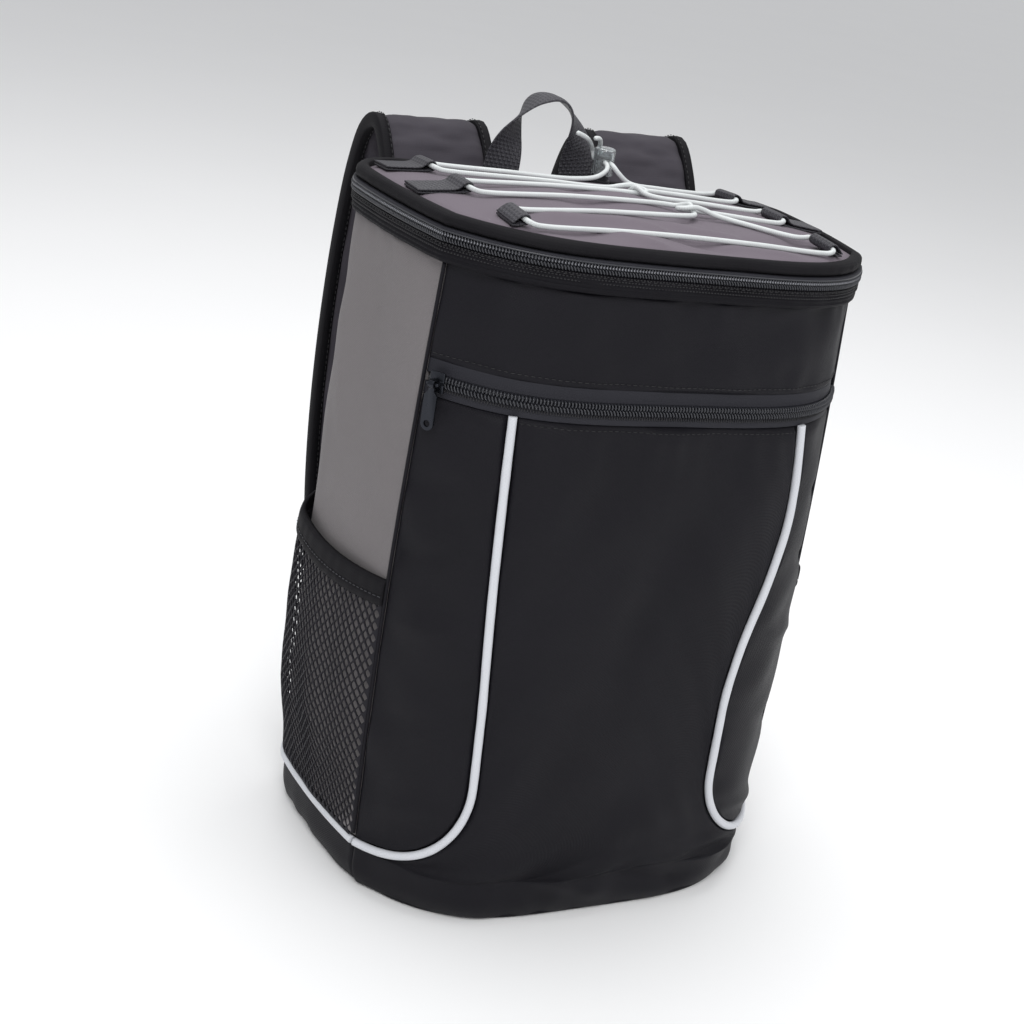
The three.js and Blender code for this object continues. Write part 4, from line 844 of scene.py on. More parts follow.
def woven(name, colour, across, along, relief, roughness, sheen=0.0, unevenness=0.12, rub=0.3,
          specular=0.1):
    """Woven cloth in the piece's own UV map, in metres: thread relief, a cloudy shade and rubbed marks."""
    material, tree, shader = new_material(name)
    uv = add_node(tree, "UVMap", uv_map="cloth").outputs[0]
    threads = plain_weave(tree, uv, across, along)
    cloud = noise_node(tree, 9.0, 4.0, 0.55)
    fleck = noise_node(tree, 260.0, 3.0, 0.7)
    shade = math_node(tree, "ADD", math_node(tree, "MULTIPLY", cloud, 0.55),
                      math_node(tree, "MULTIPLY", threads, 0.45))
    base = tinted(tree, colour, shade, 1 - 2 * unevenness, 1 + 2 * unevenness)
    worn = math_node(tree, "MULTIPLY", math_node(tree, "POWER", fleck, 6.0), rub)
    pale = tinted(tree, colour, worn, 1.0, 1.9)
    high = math_node(tree, "ADD", threads, math_node(tree, "MULTIPLY", fleck, 0.4))
    set_inputs(tree, shader, {
        "Base Color": mixed_colour(tree, base, pale, worn),
        "Roughness": rough_node(tree, cloud, roughness, 0.07),
        "Normal": bump_node(tree, high, 0.6, relief),
        "Sheen Weight": sheen,
        "Sheen Roughness": 0.5,
        "Specular IOR Level": specular,
    })
    return material


def smooth_material(name, colour, roughness, grain, grain_size, relief, **inputs):
    """Moulded or painted: one fine noise gives the colour's mottle, the roughness and the bump."""
    material, tree, shader = new_material(name)
    noise = noise_node(tree, 1 / grain_size, 4.0)
    set_inputs(tree, shader, {
        "Base Color": tinted(tree, colour, noise, 1 - grain, 1 + grain),
        "Roughness": rough_node(tree, noise, roughness, grain),
        "Normal": bump_node(tree, noise, 0.5, relief),
        **inputs,
    })
    return material


def braided(name, colour, pitch, relief, roughness, dark, **inputs):
    """A braid in the piece's UV map: two sets of slanted bands that cross."""
    material, tree, shader = new_material(name)
    uv = add_node(tree, "UVMap", uv_map="cloth").outputs[0]
    bands = []
    for turn in (0.9, -0.9):
        turned = add_node(tree, "Mapping", {"Vector": uv, "Rotation": (0, 0, turn)}).outputs[0]
        bands.append(add_node(tree, "TexWave",
                              {"Vector": turned, "Scale": math.pi / 10 / pitch}).outputs["Fac"])
    cross = math_node(tree, "MAXIMUM", *bands)
    soil = noise_node(tree, 60.0, 3.0)
    shade = math_node(tree, "MULTIPLY", math_node(tree, "ADD", cross, soil), 0.5)
    set_inputs(tree, shader, {
        "Base Color": tinted(tree, colour, shade, dark, 1.05),
        "Roughness": roughness,
        "Normal": bump_node(tree, cross, 0.7, relief),
        **inputs,
    })
    return material


# The finishes by name, filled by make_materials
MATERIALS = {}


def make_materials():
    """One material for each finish of the real bag."""
    c = colours()
    weave = sizes().weave
    # Oxford polyester, 600 denier: a matt plain weave. Its 0.5 mm threads are drawn at 0.9 mm to show.
    MATERIALS["front"] = woven("black_oxford_polyester", c.front, weave, weave, 0.00014, 0.52,
                               unevenness=0.26, specular=0.14)
    MATERIALS["side"] = woven("grey_oxford_polyester", c.side, weave, weave, 0.00014, 0.7, 0.05, 0.10, 0.2)
    MATERIALS["lid"] = woven("charcoal_oxford_polyester", c.lid, weave, weave, 0.00009, 0.7, 0.06, 0.1)
    # Grosgrain tape: fine ribs across its length catch the light in rows.
    MATERIALS["rim"] = woven("black_grosgrain_tape", c.rim, 0.0022, 0.0011, 0.00016, 0.62)
    MATERIALS["tape"] = woven("black_zip_tape", c.tape, 0.0013, 0.0009, 0.00012, 0.6, specular=0.2)
    MATERIALS["binding"] = woven("black_elastic_binding", c.binding, 0.0010, 0.0016, 0.00012, 0.66, rub=0.1)
    # Polypropylene webbing: thick ribs in a staggered basket weave with a soft gloss.
    MATERIALS["webbing"] = woven("black_polypropylene_webbing", c.webbing, 0.0017, 0.0024, 0.0007, 0.45,
                                 0.0, 0.35, 0.1, 0.3)
    MATERIALS["strap"] = woven("dark_grey_strap_cloth", c.strap, weave, weave, 0.00008, 0.75, 0.05, 0.08)
    # Reflective piping: a smooth film over a cord, satin, with a faint weave under it.
    MATERIALS["piping"] = braided("pale_reflective_piping", c.piping, 0.0016, 0.00004, 0.42, 0.93)
    # Elastic cord: a tight braid of polyester round rubber, satin.
    MATERIALS["cord"] = braided("pale_braided_elastic", c.cord, 0.0010, 0.00014, 0.5, 0.80)
    # Knitted polyester net: twisted strands, so a fine grain and a soft sheen.
    MATERIALS["net"] = smooth_material("black_knitted_net", c.net, 0.62, 0.12, 0.0006, 0.0001,
                                       **{"Specular IOR Level": 0.15})
    # Nylon monofilament coil: smooth and semi gloss.
    MATERIALS["coil"] = smooth_material("black_nylon_coil", c.coil, 0.3, 0.06, 0.002, 0.00001)
    # Nylon coil heads: glossier than the coil, with a painted highlight: their pale colour stands for the
    # glints along the coil.
    MATERIALS["coil_highlight"] = smooth_material("painted_highlight_nylon_coil", c.coil_highlight, 0.22, 0.05, 0.002, 0.00001)
    # Sewing thread: twisted polyester, with a little sheen.
    MATERIALS["thread"] = smooth_material("black_sewing_thread", c.rim, 0.5, 0.1, 0.0004, 0.00005)
    # Zinc casting under black electrophoretic paint: semi gloss, rubbed where fingers hold it.
    MATERIALS["metal"] = smooth_material("black_painted_zinc", c.metal, 0.26, 0.06, 0.004, 0.00002,
                                         **{"Metallic": 0.8})
    # Acetal, injection moulded with a fine spark texture.
    MATERIALS["plastic"] = smooth_material("black_moulded_acetal", c.plastic, 0.42, 0.06, 0.0008, 0.00004)
    # Polycarbonate, moulded clear and a little milky.
    MATERIALS["clear"] = smooth_material("clear_moulded_polycarbonate", c.clear, 0.09, 0.04, 0.003, 0.00002,
                                         **{"Transmission Weight": 0.92, "IOR": 1.58})


# Front: upper panel, pocket and its two corners

def front_columns(low, high, count):
    """Shares across the front between two limits, closer together where it turns into the sides."""
    u = np.linspace(-1, 1, count)
    eased = np.sin(u * 1.35) / math.sin(1.35)
    return np.where(eased < 0, eased * low, eased * high)


def piping_share(column, z):
    height = np.clip((z - PIPING_CURVE_Z) / (POCKET_TOP - PIPING_CURVE_Z), 0, 1)
    return np.interp(height, [row["height"] for row in PIPING_LINE], [row[column] for row in PIPING_LINE])


def front_stretch(f, z):
    """Metres along the front for each share of its width."""
    p = plan(z, 0)
    slope = p["bulge"] * FRONT_SQUARENESS * np.abs(f) ** (FRONT_SQUARENESS - 1) / p["seam_half"]
    return p["seam_half"] * np.sqrt(1 + slope * slope)


def piping_stations(column, straight=44, turn=36):
    """The piping's line down the front and its quarter ellipse out to the side seam, as shares and
    heights, with the direction beside it."""
    z = np.linspace(POCKET_TOP, PIPING_CURVE_Z, straight)
    f = piping_share(column, z)
    angle = np.linspace(0, np.pi / 2, turn + 1)[1:]
    f = np.concatenate([f, 1 - (1 - f[-1]) * np.cos(angle)])
    z = np.concatenate([z, PIPING_CURVE_Z - PIPING_CURVE_HEIGHT * np.sin(angle)])
    f, z = (np.convolve(np.pad(v, 3, mode="reflect", reflect_type="odd"), np.full(7, 1 / 7), "valid")
            for v in (f, z))
    stretch = front_stretch(f, z)
    run = np.gradient(f) * stretch
    rise = np.gradient(z)
    length = np.hypot(run, rise)
    return {"f": f, "z": z, "stretch": stretch, "out_f": -rise / length, "out_z": run / length}


def beside(stations, distance):
    return (stations["f"] + distance * stations["out_f"] / stations["stretch"],
            stations["z"] + distance * stations["out_z"])


POCKET_FOLDS = [
    {"start": (0.16, 0.93), "end": (0.36, 0.84), "width": 0.009, "height": 0.0022},
    {"start": (0.30, 0.97), "end": (0.46, 0.88), "width": 0.007, "height": 0.0017},
    {"start": (0.60, 0.90), "end": (0.84, 0.96), "width": 0.010, "height": 0.0021},
    {"start": (0.22, 0.30), "end": (0.30, 0.62), "width": 0.014, "height": -0.0017},
    {"start": (0.70, 0.34), "end": (0.78, 0.66), "width": 0.014, "height": -0.0018},
    {"start": (0.34, 0.10), "end": (0.52, 0.035), "width": 0.008, "height": 0.0031},
    {"start": (0.52, 0.075), "end": (0.70, 0.03), "width": 0.006, "height": -0.0031},
    {"start": (0.60, 0.12), "end": (0.82, 0.07), "width": 0.009, "height": 0.0025},
    {"start": (0.30, 0.20), "end": (0.66, 0.14), "width": 0.016, "height": 0.0021},
]
CORNER_FOLDS = [
    {"start": (0.25, 0.86), "end": (0.95, 0.83), "width": 0.0050, "height": -0.0016},
    {"start": (0.30, 0.74), "end": (0.98, 0.69), "width": 0.0045, "height": -0.0018},
    {"start": (0.20, 0.60), "end": (0.90, 0.57), "width": 0.0055, "height": 0.0018},
    {"start": (0.35, 0.42), "end": (0.98, 0.37), "width": 0.0060, "height": -0.0015},
    {"start": (0.15, 0.24), "end": (0.70, 0.21), "width": 0.0080, "height": 0.0014},
]
UPPER_FOLDS = [
    {"start": (0.20, 0.10), "end": (0.30, 0.70), "width": 0.012, "height": 0.0015},
    {"start": (0.74, 0.15), "end": (0.68, 0.85), "width": 0.012, "height": -0.0017},
    {"start": (0.45, 0.08), "end": (0.62, 0.30), "width": 0.010, "height": 0.0013},
]


def build_front():
    """The four black panels of the front, with their folds, seams and two rows of topstitching."""
    left = piping_stations("left")
    right = piping_stations("right")
    edges = {}
    for column, stations in (("left", left), ("right", right)):
        f, z = beside(stations, -PIPING_SEAT)
        edges[column] = (np.minimum(f, FRONT_EDGE)[::-1], np.minimum(z, POCKET_TOP)[::-1])
    foot = edges["left"][1][0] * np.linspace(0, 1, 18, endpoint=False) ** 1.6
    f_left = np.concatenate([np.full(len(foot), FRONT_EDGE), edges["left"][0]])
    f_right = np.concatenate([np.full(len(foot), FRONT_EDGE), edges["right"][0]])
    z_left = np.concatenate([foot, edges["left"][1]])
    z_right = np.concatenate([foot, edges["right"][1]])
    columns = 150
    u = (front_columns(1, 1, columns) + 1) / 2
    eased = 2 * u - 1
    f = np.where(eased < 0, eased * f_left[:, None], eased * f_right[:, None])
    z = lerp(z_left[:, None], z_right[:, None], np.linspace(0, 1, columns))
    surface = front_point(f, z)

    def pocket_relief(across, along):
        top = along[-1:] - along
        relief = (creases(across, along, POCKET_FOLDS) + waves(across, along, 3, 0.09, 0.0014)
                  + waves(across, along, 8, 0.045, 0.0004)
                  + puckers(across, top, 5, 0.019, 0.016, 0.0006)
                  + puckers(across, along, 6, 0.034, 0.018, 0.0012))
        return relief * lerp(0.3, 1.0, smoothstep(along / 0.020))

    panel("front_pocket_cloth", surface, "front", ["front_pocket_panel"], pocket_relief)

    for column, stations in (("left", left), ("right", right)):
        side = SIDES[column]
        f, z = beside(stations, PIPING_SEAT)
        keep = (1 - f) * stations["stretch"] > 0.0022
        f, z = f[keep], np.minimum(z[keep], POCKET_TOP)
        share = edge_shares(0.04, 26)
        grid = front_point(side * lerp(f[:, None], FRONT_EDGE, share), z[:, None])

        def corner_relief(across, along, seed=7 + side):
            low = along.max() - along
            return (creases(across, low, CORNER_FOLDS) + waves(across, along, seed, 0.06, 0.0008)
                    + puckers(along, across, seed + 3, 0.021, 0.010, 0.0005))

        panel(f"front_corner_cloth_{column}", grid, "front", [f"front_corner_{column}"],
              corner_relief)

    z = edge_steps(UPPER_FOOT, BODY_HEIGHT, 34)
    f = front_columns(FRONT_EDGE, FRONT_EDGE, 150)
    surface = front_point(f[None], z[:, None])

    def upper_relief(across, along):
        return (creases(across, along, UPPER_FOLDS) + waves(across, along, 11, 0.07, 0.0011)
                + puckers(across, along, 12, 0.023, 0.012, 0.0004)
                + puckers(across, along[-1:] - along, 13, 0.027, 0.012, 0.0005))

    panel("front_upper_cloth", surface, "front", ["front_upper_panel"], upper_relief)

    rows = [sewn_line("front_upper_cloth", TOPSTITCH), sewn_line("front_pocket_cloth", -TOPSTITCH)]
    add_shape("front_topstitching", stitches(rows), "thread")


SIDE_FOLDS = [
    {"start": (0.30, 0.86), "end": (0.55, 0.62), "width": 0.013, "height": 0.0022},
    {"start": (0.55, 0.92), "end": (0.80, 0.66), "width": 0.016, "height": -0.0024},
    {"start": (0.45, 0.56), "end": (0.85, 0.50), "width": 0.012, "height": 0.0017},
    {"start": (0.70, 0.75), "end": (0.95, 0.58), "width": 0.010, "height": 0.0016},
]


def build_sides():
    """The two grey side panels, from the back seam round the corner to the side seam."""
    low = SIDE_PIPING_Z + PIPING_SEAT
    z = edge_steps(low, BODY_HEIGHT, 90)
    t = edge_shares(0.165, 80)
    for name, side in SIDES.items():
        surface = side_point(side, lerp(0.001, 0.999, t)[None], z[:, None])

        def relief(across, along, seed=21 + side):
            top = along[-1:] - along
            front = across[:, -1:] - across
            return (creases(across, along, SIDE_FOLDS) + waves(across, along, seed, 0.10, 0.0012)
                    + puckers(along, front, seed + 4, 0.026, 0.014, 0.0004)
                    + puckers(across, top, seed + 5, 0.024, 0.014, 0.0006))

        panel(f"side_cloth_{name}", surface, "side", [f"side_panel_{name}"], relief)
        # Thin black tubes along the back and side seams: partly the black cloth rolled into each seam, partly
        # painted shade in the seam.
        height = np.linspace(low + 0.003, BODY_HEIGHT - 0.001, 160)
        parts = []
        for share in (0.0, 1.0):
            path = side_point(side, share + 0 * height, height, SEAM_DEPTH)
            way = tangents(path)
            out = unit(np.cross(way, (0, 1.0, 0)))
            parts.append(sweep(path, out, np.cross(way, out), circle(0.0012, 8)))
        add_shape(f"side_seam_roll_and_shade_{name}", joined(parts), "front")


def build_back():
    """The back panel: a quilted pad with two upright channels, under plain black cloth."""
    low = SIDE_PIPING_Z - PIPING_SEAT + GAP
    z = edge_steps(low, BODY_HEIGHT, 80)
    b = lerp(-0.999, 0.999, edge_shares(0.21, 80))
    surface = back_point(b[None], z[:, None])

    def relief(across, along):
        """Two channels, each a bell-shaped groove, and soft pads between them."""
        share = across / across.max()
        groove = np.zeros(across.shape)
        for middle in (0.34, 0.66):
            groove += np.exp(-((share - middle) * across.max() / 0.004) ** 2)
        return -0.0015 * groove + waves(across, along, 31, 0.10, 0.0005)

    pad = panel("back_cloth", surface, "front", ["back_panel"], relief)


def build_foot():
    """The boot round the foot of the sides and back, the floor panel and the rolled edge under the front."""
    top = SIDE_PIPING_Z - PIPING_SEAT
    z = edge_steps(0.0, top, 16)[:, None]
    t = np.linspace(1, 0, 70)[None] * 0.999
    b = np.linspace(-1, 1, 60)[None, 1:-1]
    surface = np.concatenate([side_point(LEFT, t, z), back_point(b, z), side_point(RIGHT, t[:, ::-1], z)], 1)

    def relief(across, along):
        return waves(across, along, 41, 0.07, 0.0005) + puckers(across, along, 42, 0.031, 0.012, 0.0006)

    panel("foot_cloth", surface, "front", ["base_boot"], relief)

    shares = np.array([0.0, 0.3, 0.6, 0.85, 1.0])[:, None, None]
    loop = outline(0.0, WALL + 2 * GAP)[0]
    rings = {}
    for z in (0.0, 0.005):
        ring = loop[None] * np.where(shares == 0, 1e-6, shares)
        ring[..., 2] = z
        rings[z] = ring
    grid = np.concatenate([rings[0.0], rings[0.005][::-1]])
    new_piece("floor_panel_cloth", grid, tube_faces(*grid.shape[:2]), "front", ["base_panel"],
              grid[..., :2])

    f = front_columns(0.99, 0.99, 150)
    path = front_point(f, 0.0032, 0.0022)
    out = wall_normals(path)
    up = np.broadcast_to([0.0, 0.0, 1.0], path.shape)
    from_end = np.minimum(lengths(path), lengths(path)[-1] - lengths(path))
    slim = lerp(0.15, 1.0, smoothstep(from_end / 0.025))[:, None, None]
    add_shape("front_foot_edge", sweep(path, out, up, circle(0.0021, 12)[None] * (0.8, 1.2) * slim),
              "rim")


def build_piping():
    """Pale piping: a cord in each seam, with the slight waver of a sewn line, its flange behind it, and a
    strip like the flange that closes the slit past the ends of the pocket zip's coil."""
    for name, side in SIDES.items():
        stations = piping_stations(name, 60, 50)
        f = stations["f"].copy()
        z = stations["z"].copy()
        z[0] -= GAP
        f[-1] = 1 - 0.0012 / front_stretch(1.0, SIDE_PIPING_Z)
        path = resample(front_point(side * f, z, SEAM_DEPTH), 260)
        out = unit(np.cross(tangents(path), (0, 0, 1.0)) + (0, -0.6, 0))
        make_piping(f"front_piping_cord_{name}", path, f"front_piping_{name}", out)
        sew_in(f"front_piping_flange_{name}", path, resample(front_point(side * f, z, FLANGE_DEPTH), 260))
        t = np.linspace(0.02, 0.993, 160)
        path = side_point(side, t, SIDE_PIPING_Z + 0 * t, SEAM_DEPTH)
        make_piping(f"side_piping_cord_{name}", path, f"side_piping_{name}", np.array([0, 0, 1.0]))
        sew_in(f"side_piping_flange_{name}", path, side_point(side, t, SIDE_PIPING_Z + 0 * t, FLANGE_DEPTH))
    f = front_columns(ZIP_EDGE, ZIP_EDGE, 120)
    sew_in("pocket_zip_backing", front_point(f, POCKET_ZIP_Z + 0 * f, SEAM_DEPTH),
           front_point(f, POCKET_ZIP_Z + 0 * f, FLANGE_DEPTH))


def sew_in(name, path, inner):
    """The piping's flat flange, caught in the seam behind the cord, which closes the gap between the
    panels' rolled edges."""
    normal = unit(path - inner)
    across = unit(np.cross(tangents(inner), normal))
    add_shape(name, sweep(inner, across, normal, flat_section(FLANGE_WIDTH, 0.0006, 12)),
              "front")


def make_piping(name, path, node, reference):
    """A round section carried along the path, thicker and thinner by a hair along its length."""
    way = tangents(path)
    a = unit(np.cross(way, reference))
    b = unit(np.cross(way, a))
    swell = 1 + waves(lengths(path), 0 * path[:, 0], 51, 0.03, 0.02)
    section = circle(PIPING_RADIUS * 1.04, 16)[None] * swell[:, None, None]
    add_shape(name, sweep(path, a, b, section), "piping", [node])


# Zips

def coil(path, out, up, pitch, half_width, height, wire):
    """The two halves of a zip's coil: each a helix flattened across the zip, half a pitch apart, whose
    turns mesh at the middle line."""
    run = lengths(path)
    turns = run[-1] / pitch
    around = 14
    count = int(turns * around)
    at = np.linspace(0, run[-1], count)
    middle = values_at(at, run, path)
    way, out, up = (unit(values_at(at, run, v)) for v in (tangents(path), out, up))
    parts = []
    for side, shift in ((-1, 0.0), (1, 0.5)):
        angle = 2 * np.pi * (at / pitch + shift)
        across = side * half_width * (0.53 + 0.45 * np.cos(angle))
        rise = height / 2 * np.sin(angle) * side
        slant = 0.16 * pitch * np.cos(angle)
        line = middle + up * across[:, None] + out * rise[:, None] + way * slant[:, None]
        tangent = tangents(line)
        a = unit(np.cross(tangent, way + 0.3 * out))
        b = np.cross(tangent, a)
        parts.append(sweep(line, a, b, circle(wire / 2, 5)))
    return joined(parts)


def build_pocket_zip():
    """The pocket zip: two tapes with ribs along them, the coil, its sewing, the slider and the pull."""
    f = front_columns(ZIP_EDGE, ZIP_EDGE, 220)
    for name, low, tall in (("lower", POCKET_TOP + GAP, POCKET_TAPE_LOWER),
                            ("upper", POCKET_ZIP_Z + POCKET_COIL / 2 + GAP, POCKET_TAPE_UPPER)):
        z = np.linspace(low - 0.0010, low + tall + 0.0010, 22)
        surface = front_point(f[None], z[:, None], 0.0008)

        def relief(across, along, sign=1 if name == "upper" else -1):
            share = along / along.max()
            near_coil = 1 - share if sign > 0 else share
            ridge = 0.0007 * np.exp(-((near_coil - 0.86) / 0.06) ** 2)
            return ridge + waves(across, along, 61 + sign, 0.05, 0.00015)

        panel(f"pocket_tape_{name}", surface, "tape", [f"pocket_zip_tape_{name}"],
              relief, thick=0.0016, roll=0.0006)

    f = front_columns(0.985, 0.992, 900)
    path = front_point(f, POCKET_ZIP_Z, SEAM_DEPTH)
    out = wall_normals(path)
    up = np.cross(out, tangents(path))
    up *= np.sign(up[:, 2:])
    turns = coil(path, out, up, sizes().pocket_tooth, POCKET_COIL / 2, height=0.0024, wire=0.00105)
    add_shape("pocket_coil", turns, "coil", ["pocket_zip_coil"])
    line = path - up * POCKET_COIL * 0.72 - out * 0.0002
    middle, way, outward = along_path(line, 0, 0.0016, up, out)
    add_shape("pocket_coil_sewing", spindles(middle, way, outward, 0.0026, 0.00075), "thread")
    bed = front_point(f[None, ::4], (POCKET_ZIP_Z + np.linspace(-1, 1, 5) * 0.0036)[:, None], 0.0012)
    panel("pocket_coil_bed", bed, "tape", (), thick=0.001, roll=0.0004)
    bevelled("pocket_slider", "pocket_zip_slider", "metal", 0.00045)
    bevelled("pocket_pull", "pocket_zip_pull", "metal", 0.00035, body="pull")


def round_edges(piece, width, segments, angle):
    """Rounds the edges that turn by more than the angle, in degrees."""
    bevel = piece.modifiers.new("rounded edges", "BEVEL")
    bevel.width = width
    bevel.segments = segments
    bevel.limit_method = "ANGLE"
    bevel.angle_limit = math.radians(angle)
    bevel.harden_normals = True


def bevelled(name, node, finish, width, body="body", angle=28):
    """A node's own shape with its loose triangles merged, its edges rounded and its faces smoothed."""
    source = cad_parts[node]
    mesh = source.data.copy()
    mesh.name = name
    mesh.transform(source.matrix_world)
    with edit_mesh(mesh) as work:
        bmesh.ops.remove_doubles(work, verts=work.verts, dist=1e-6)
        bmesh.ops.dissolve_limit(work, angle_limit=math.radians(1), verts=work.verts, edges=work.edges)
    mesh.materials.clear()
    mesh.materials.append(MATERIALS[finish])
    for face in mesh.polygons:
        face.use_smooth = True
    piece = add_object(name, mesh)
    round_edges(piece, width, 3, angle)
    return dress(piece, [node], body)


def ring_band(name, profile, finish, replaces, relief=None):
    """A band round the rim: a closed profile of depths and heights, carried round the outline."""
    depth, z = np.asarray(profile).T
    grid = outline(z, depth)
    if relief is not None:
        run = spans(grid)[0]
        outer = np.clip((-depth - RIM_OUT * 0.4) / (RIM_OUT * 0.5), 0, 1)[:, None]
        away = unit(grid * (1, 1, 0))
        grid = grid + away * (relief(run, z[:, None]) * outer)[..., None]
    grid = np.concatenate([grid, grid[:1]], axis=0)
    loop = np.concatenate([grid, grid[:, :1]], axis=1)
    rows, cols = loop.shape[:2]
    across, along = spans(loop)
    uv = np.stack([across, np.broadcast_to(along[:, :1], across.shape)], -1)
    points = grid[:-1].reshape(-1, 3)
    index = np.arange(len(points)).reshape(grid.shape[0] - 1, grid.shape[1])
    a, b = index, np.roll(index, -1, axis=0)
    faces = np.stack([a, np.roll(a, -1, 1), np.roll(b, -1, 1), b], -1).reshape(-1, 4)
    return new_piece(name, points, [faces], finish, replaces, uv[:-1, :-1].reshape(-1, 2))


def round_profile(low, high, out, back, corner, count=5, ridges=0):
    """A band's section: two rounded outer corners, a face that may carry ridges, and a flat back."""
    angle = np.linspace(-np.pi / 2, 0, count)
    lower = np.stack([-out + corner - corner * np.cos(angle), low + corner + corner * np.sin(angle)], -1)
    upper = np.stack([lower[::-1, 0], high + low - lower[::-1, 1]], -1)
    z = np.linspace(low + corner, high - corner, 2 + 12 * ridges)[1:-1]
    rise = 0.00022 * np.cos((z - z[0]) / (z[-1] - z[0]) * 2 * np.pi * ridges) if ridges else 0 * z
    face = np.stack([-out - rise, z], -1)
    return np.concatenate([[[back, low]], lower, face, upper, [[back, high]]])


def build_rim():
    """The rim: a ribbed band on the body, the main zip's coil and tape, and the bound edge of the lid."""
    lower = round_profile(RIM_BAND_LOW - 0.0012, RIM_BAND_HIGH, RIM_OUT, WALL, 0.0018, ridges=3)
    ring_band("rim_band_tape", lower, "rim", ["rim_band"],
              lambda run, z: waves(run, z, 71, 0.06, 0.0004) + waves(run, z, 72, 0.018, 0.00015))
    lip = round_profile(LID_BAND_Z, LID_BAND_Z + LIP_HEIGHT, RIM_OUT + 0.0007, LID_INSET, 0.0008)
    ring_band("lid_zip_lip", lip, "tape", ())
    angle = np.linspace(-0.35 * np.pi, 0.62 * np.pi, 12)
    middle_z = (LID_BAND_Z + LIP_HEIGHT + LID_TOP_Z) / 2
    roll = np.stack([0.0005 - (RIM_OUT + 0.0003) * np.cos(angle), middle_z + 0.0041 * np.sin(angle)], -1)
    inside = LID_INSET - 0.0010
    bound = np.concatenate([[[inside, LID_BAND_Z + 0.0020]], roll,
                            [[inside, LID_TOP_Z - 0.0003], [inside, LID_BAND_Z + 0.004]]])
    ring_band("lid_edge_binding", bound, "binding", ["lid_band"],
              lambda run, z: waves(run, z, 73, 0.05, 0.0005) + waves(run, z, 74, 0.013, 0.0002))

    z = RIM_ZIP_Z + RIM_ZIP_HEIGHT / 2
    t = np.linspace(ZIP_REAR, 1, 400, endpoint=False)
    f = front_columns(1, 1, 1200)
    path = np.concatenate([side_point(LEFT, t, z, -RIM_OUT - 0.0001), front_point(f, z, -RIM_OUT - 0.0001),
                           side_point(RIGHT, t[::-1], z, -RIM_OUT - 0.0001)])
    path = resample(path, 2400)
    out = wall_normals(path)
    up = np.broadcast_to([0.0, 0.0, 1.0], path.shape)
    turns = coil(path, out, up, sizes().rim_tooth, RIM_ZIP_HEIGHT / 2, height=0.0018, wire=0.00095)
    add_shape("rim_coil", turns, "coil", ["rim_zip"])
    # Pale spindles on the coil's heads: a painted highlight for the row of glints along the coil.
    line = path + up * RIM_ZIP_HEIGHT * 0.24 + out * 0.0008
    head, way, outward = along_path(line, 0.0009, sizes().rim_tooth, up, out)
    add_shape("rim_coil_highlights", spindles(head, way, outward, 0.0013, 0.0010), "coil_highlight")
    edge = path + out * 0.0003 + up * (RIM_ZIP_HEIGHT / 2 + 0.0006)
    add_shape("rim_zip_edge", sweep(edge, out, up, circle(0.00055, 8)), "coil")
    placed = []
    for number in range(3):
        line = path - up * (RIM_ZIP_HEIGHT / 2 + 0.0014 + 0.0019 * number) + out * 0.0002
        placed.append(along_path(line, 0.001 * (number % 2), 0.002, tangents(path), out))
    middle, way, outward = (np.concatenate(v) for v in zip(*placed))
    add_shape("rim_tape_ribs", spindles(middle, way, outward, 0.0014, 0.0009), "thread")
    tape = round_profile(RIM_ZIP_Z - 0.0008, LID_BAND_Z + 0.0008, RIM_OUT - 0.0014, 0.0005, 0.0004)
    ring_band("rim_coil_tape", tape, "tape", ["lid_hinge"])
    line = outline(RIM_BAND_HIGH - 0.0018, -RIM_OUT - 0.0003)[0]
    line = np.concatenate([line, line[:1]])
    add_shape("rim_stitching", stitches([(line, wall_normals(line))]), "thread")
    bevelled("lid_slider", "main_zip_slider", "metal", 0.0008)


LID_FOLDS = [
    {"start": (0.20, 0.26), "end": (0.50, 0.17), "width": 0.0075, "height": 0.0033},
    {"start": (0.50, 0.30), "end": (0.66, 0.13), "width": 0.0080, "height": 0.0029},
    {"start": (0.62, 0.12), "end": (0.86, 0.26), "width": 0.0070, "height": -0.0029},
    {"start": (0.34, 0.46), "end": (0.62, 0.38), "width": 0.0100, "height": -0.0022},
    {"start": (0.16, 0.50), "end": (0.40, 0.62), "width": 0.0110, "height": 0.0024},
    {"start": (0.70, 0.42), "end": (0.92, 0.36), "width": 0.0090, "height": 0.0022},
    {"start": (0.30, 0.14), "end": (0.44, 0.03), "width": 0.0040, "height": 0.0012},
    {"start": (0.44, 0.16), "end": (0.60, 0.05), "width": 0.0035, "height": -0.0012},
    {"start": (0.56, 0.10), "end": (0.76, 0.06), "width": 0.0040, "height": 0.0014},
]


def build_lid():
    """The lid's charcoal top: a crown over rings that shrink to the middle, with soft folds that die out
    towards the rim."""
    loop = outline(LID_BAND_Z, LID_INSET - 0.001)[0]
    share = np.concatenate([np.linspace(1, 0.9, 10, endpoint=False), np.linspace(0.9, 0.004, 52)])[:, None]
    x = loop[None, :, 0] * share
    y = lerp(LID_MIDDLE_Y, loop[None, :, 1], share)
    u, v = x - x.min(), y - y.min()
    inside = smoothstep((1 - share) / 0.12)
    folds = creases(u, v, LID_FOLDS) + waves(x, y, 81, 0.10, 0.0010)
    lift = folds * inside - 0.0016 * (1 - smoothstep((1 - share) / 0.05))
    top = lid_point(x, y, lift)
    under = lid_point(x, y, -LID_THICK)
    grid = np.concatenate([under[::-1], top])
    piece = new_piece("lid_cloth", grid, tube_faces(*grid.shape[:2]), "lid", ["lid_panel"],
                      grid[..., :2])


# Mesh pockets

def mesh_across(t):
    return np.clip((t - MESH_REAR) / (1 - MESH_REAR), 0, 1)


def mesh_top(t):
    across = mesh_across(t)
    return MESH_TOP - MESH_DIP * np.sin(np.pi * across) + MESH_FRONT_RISE * across


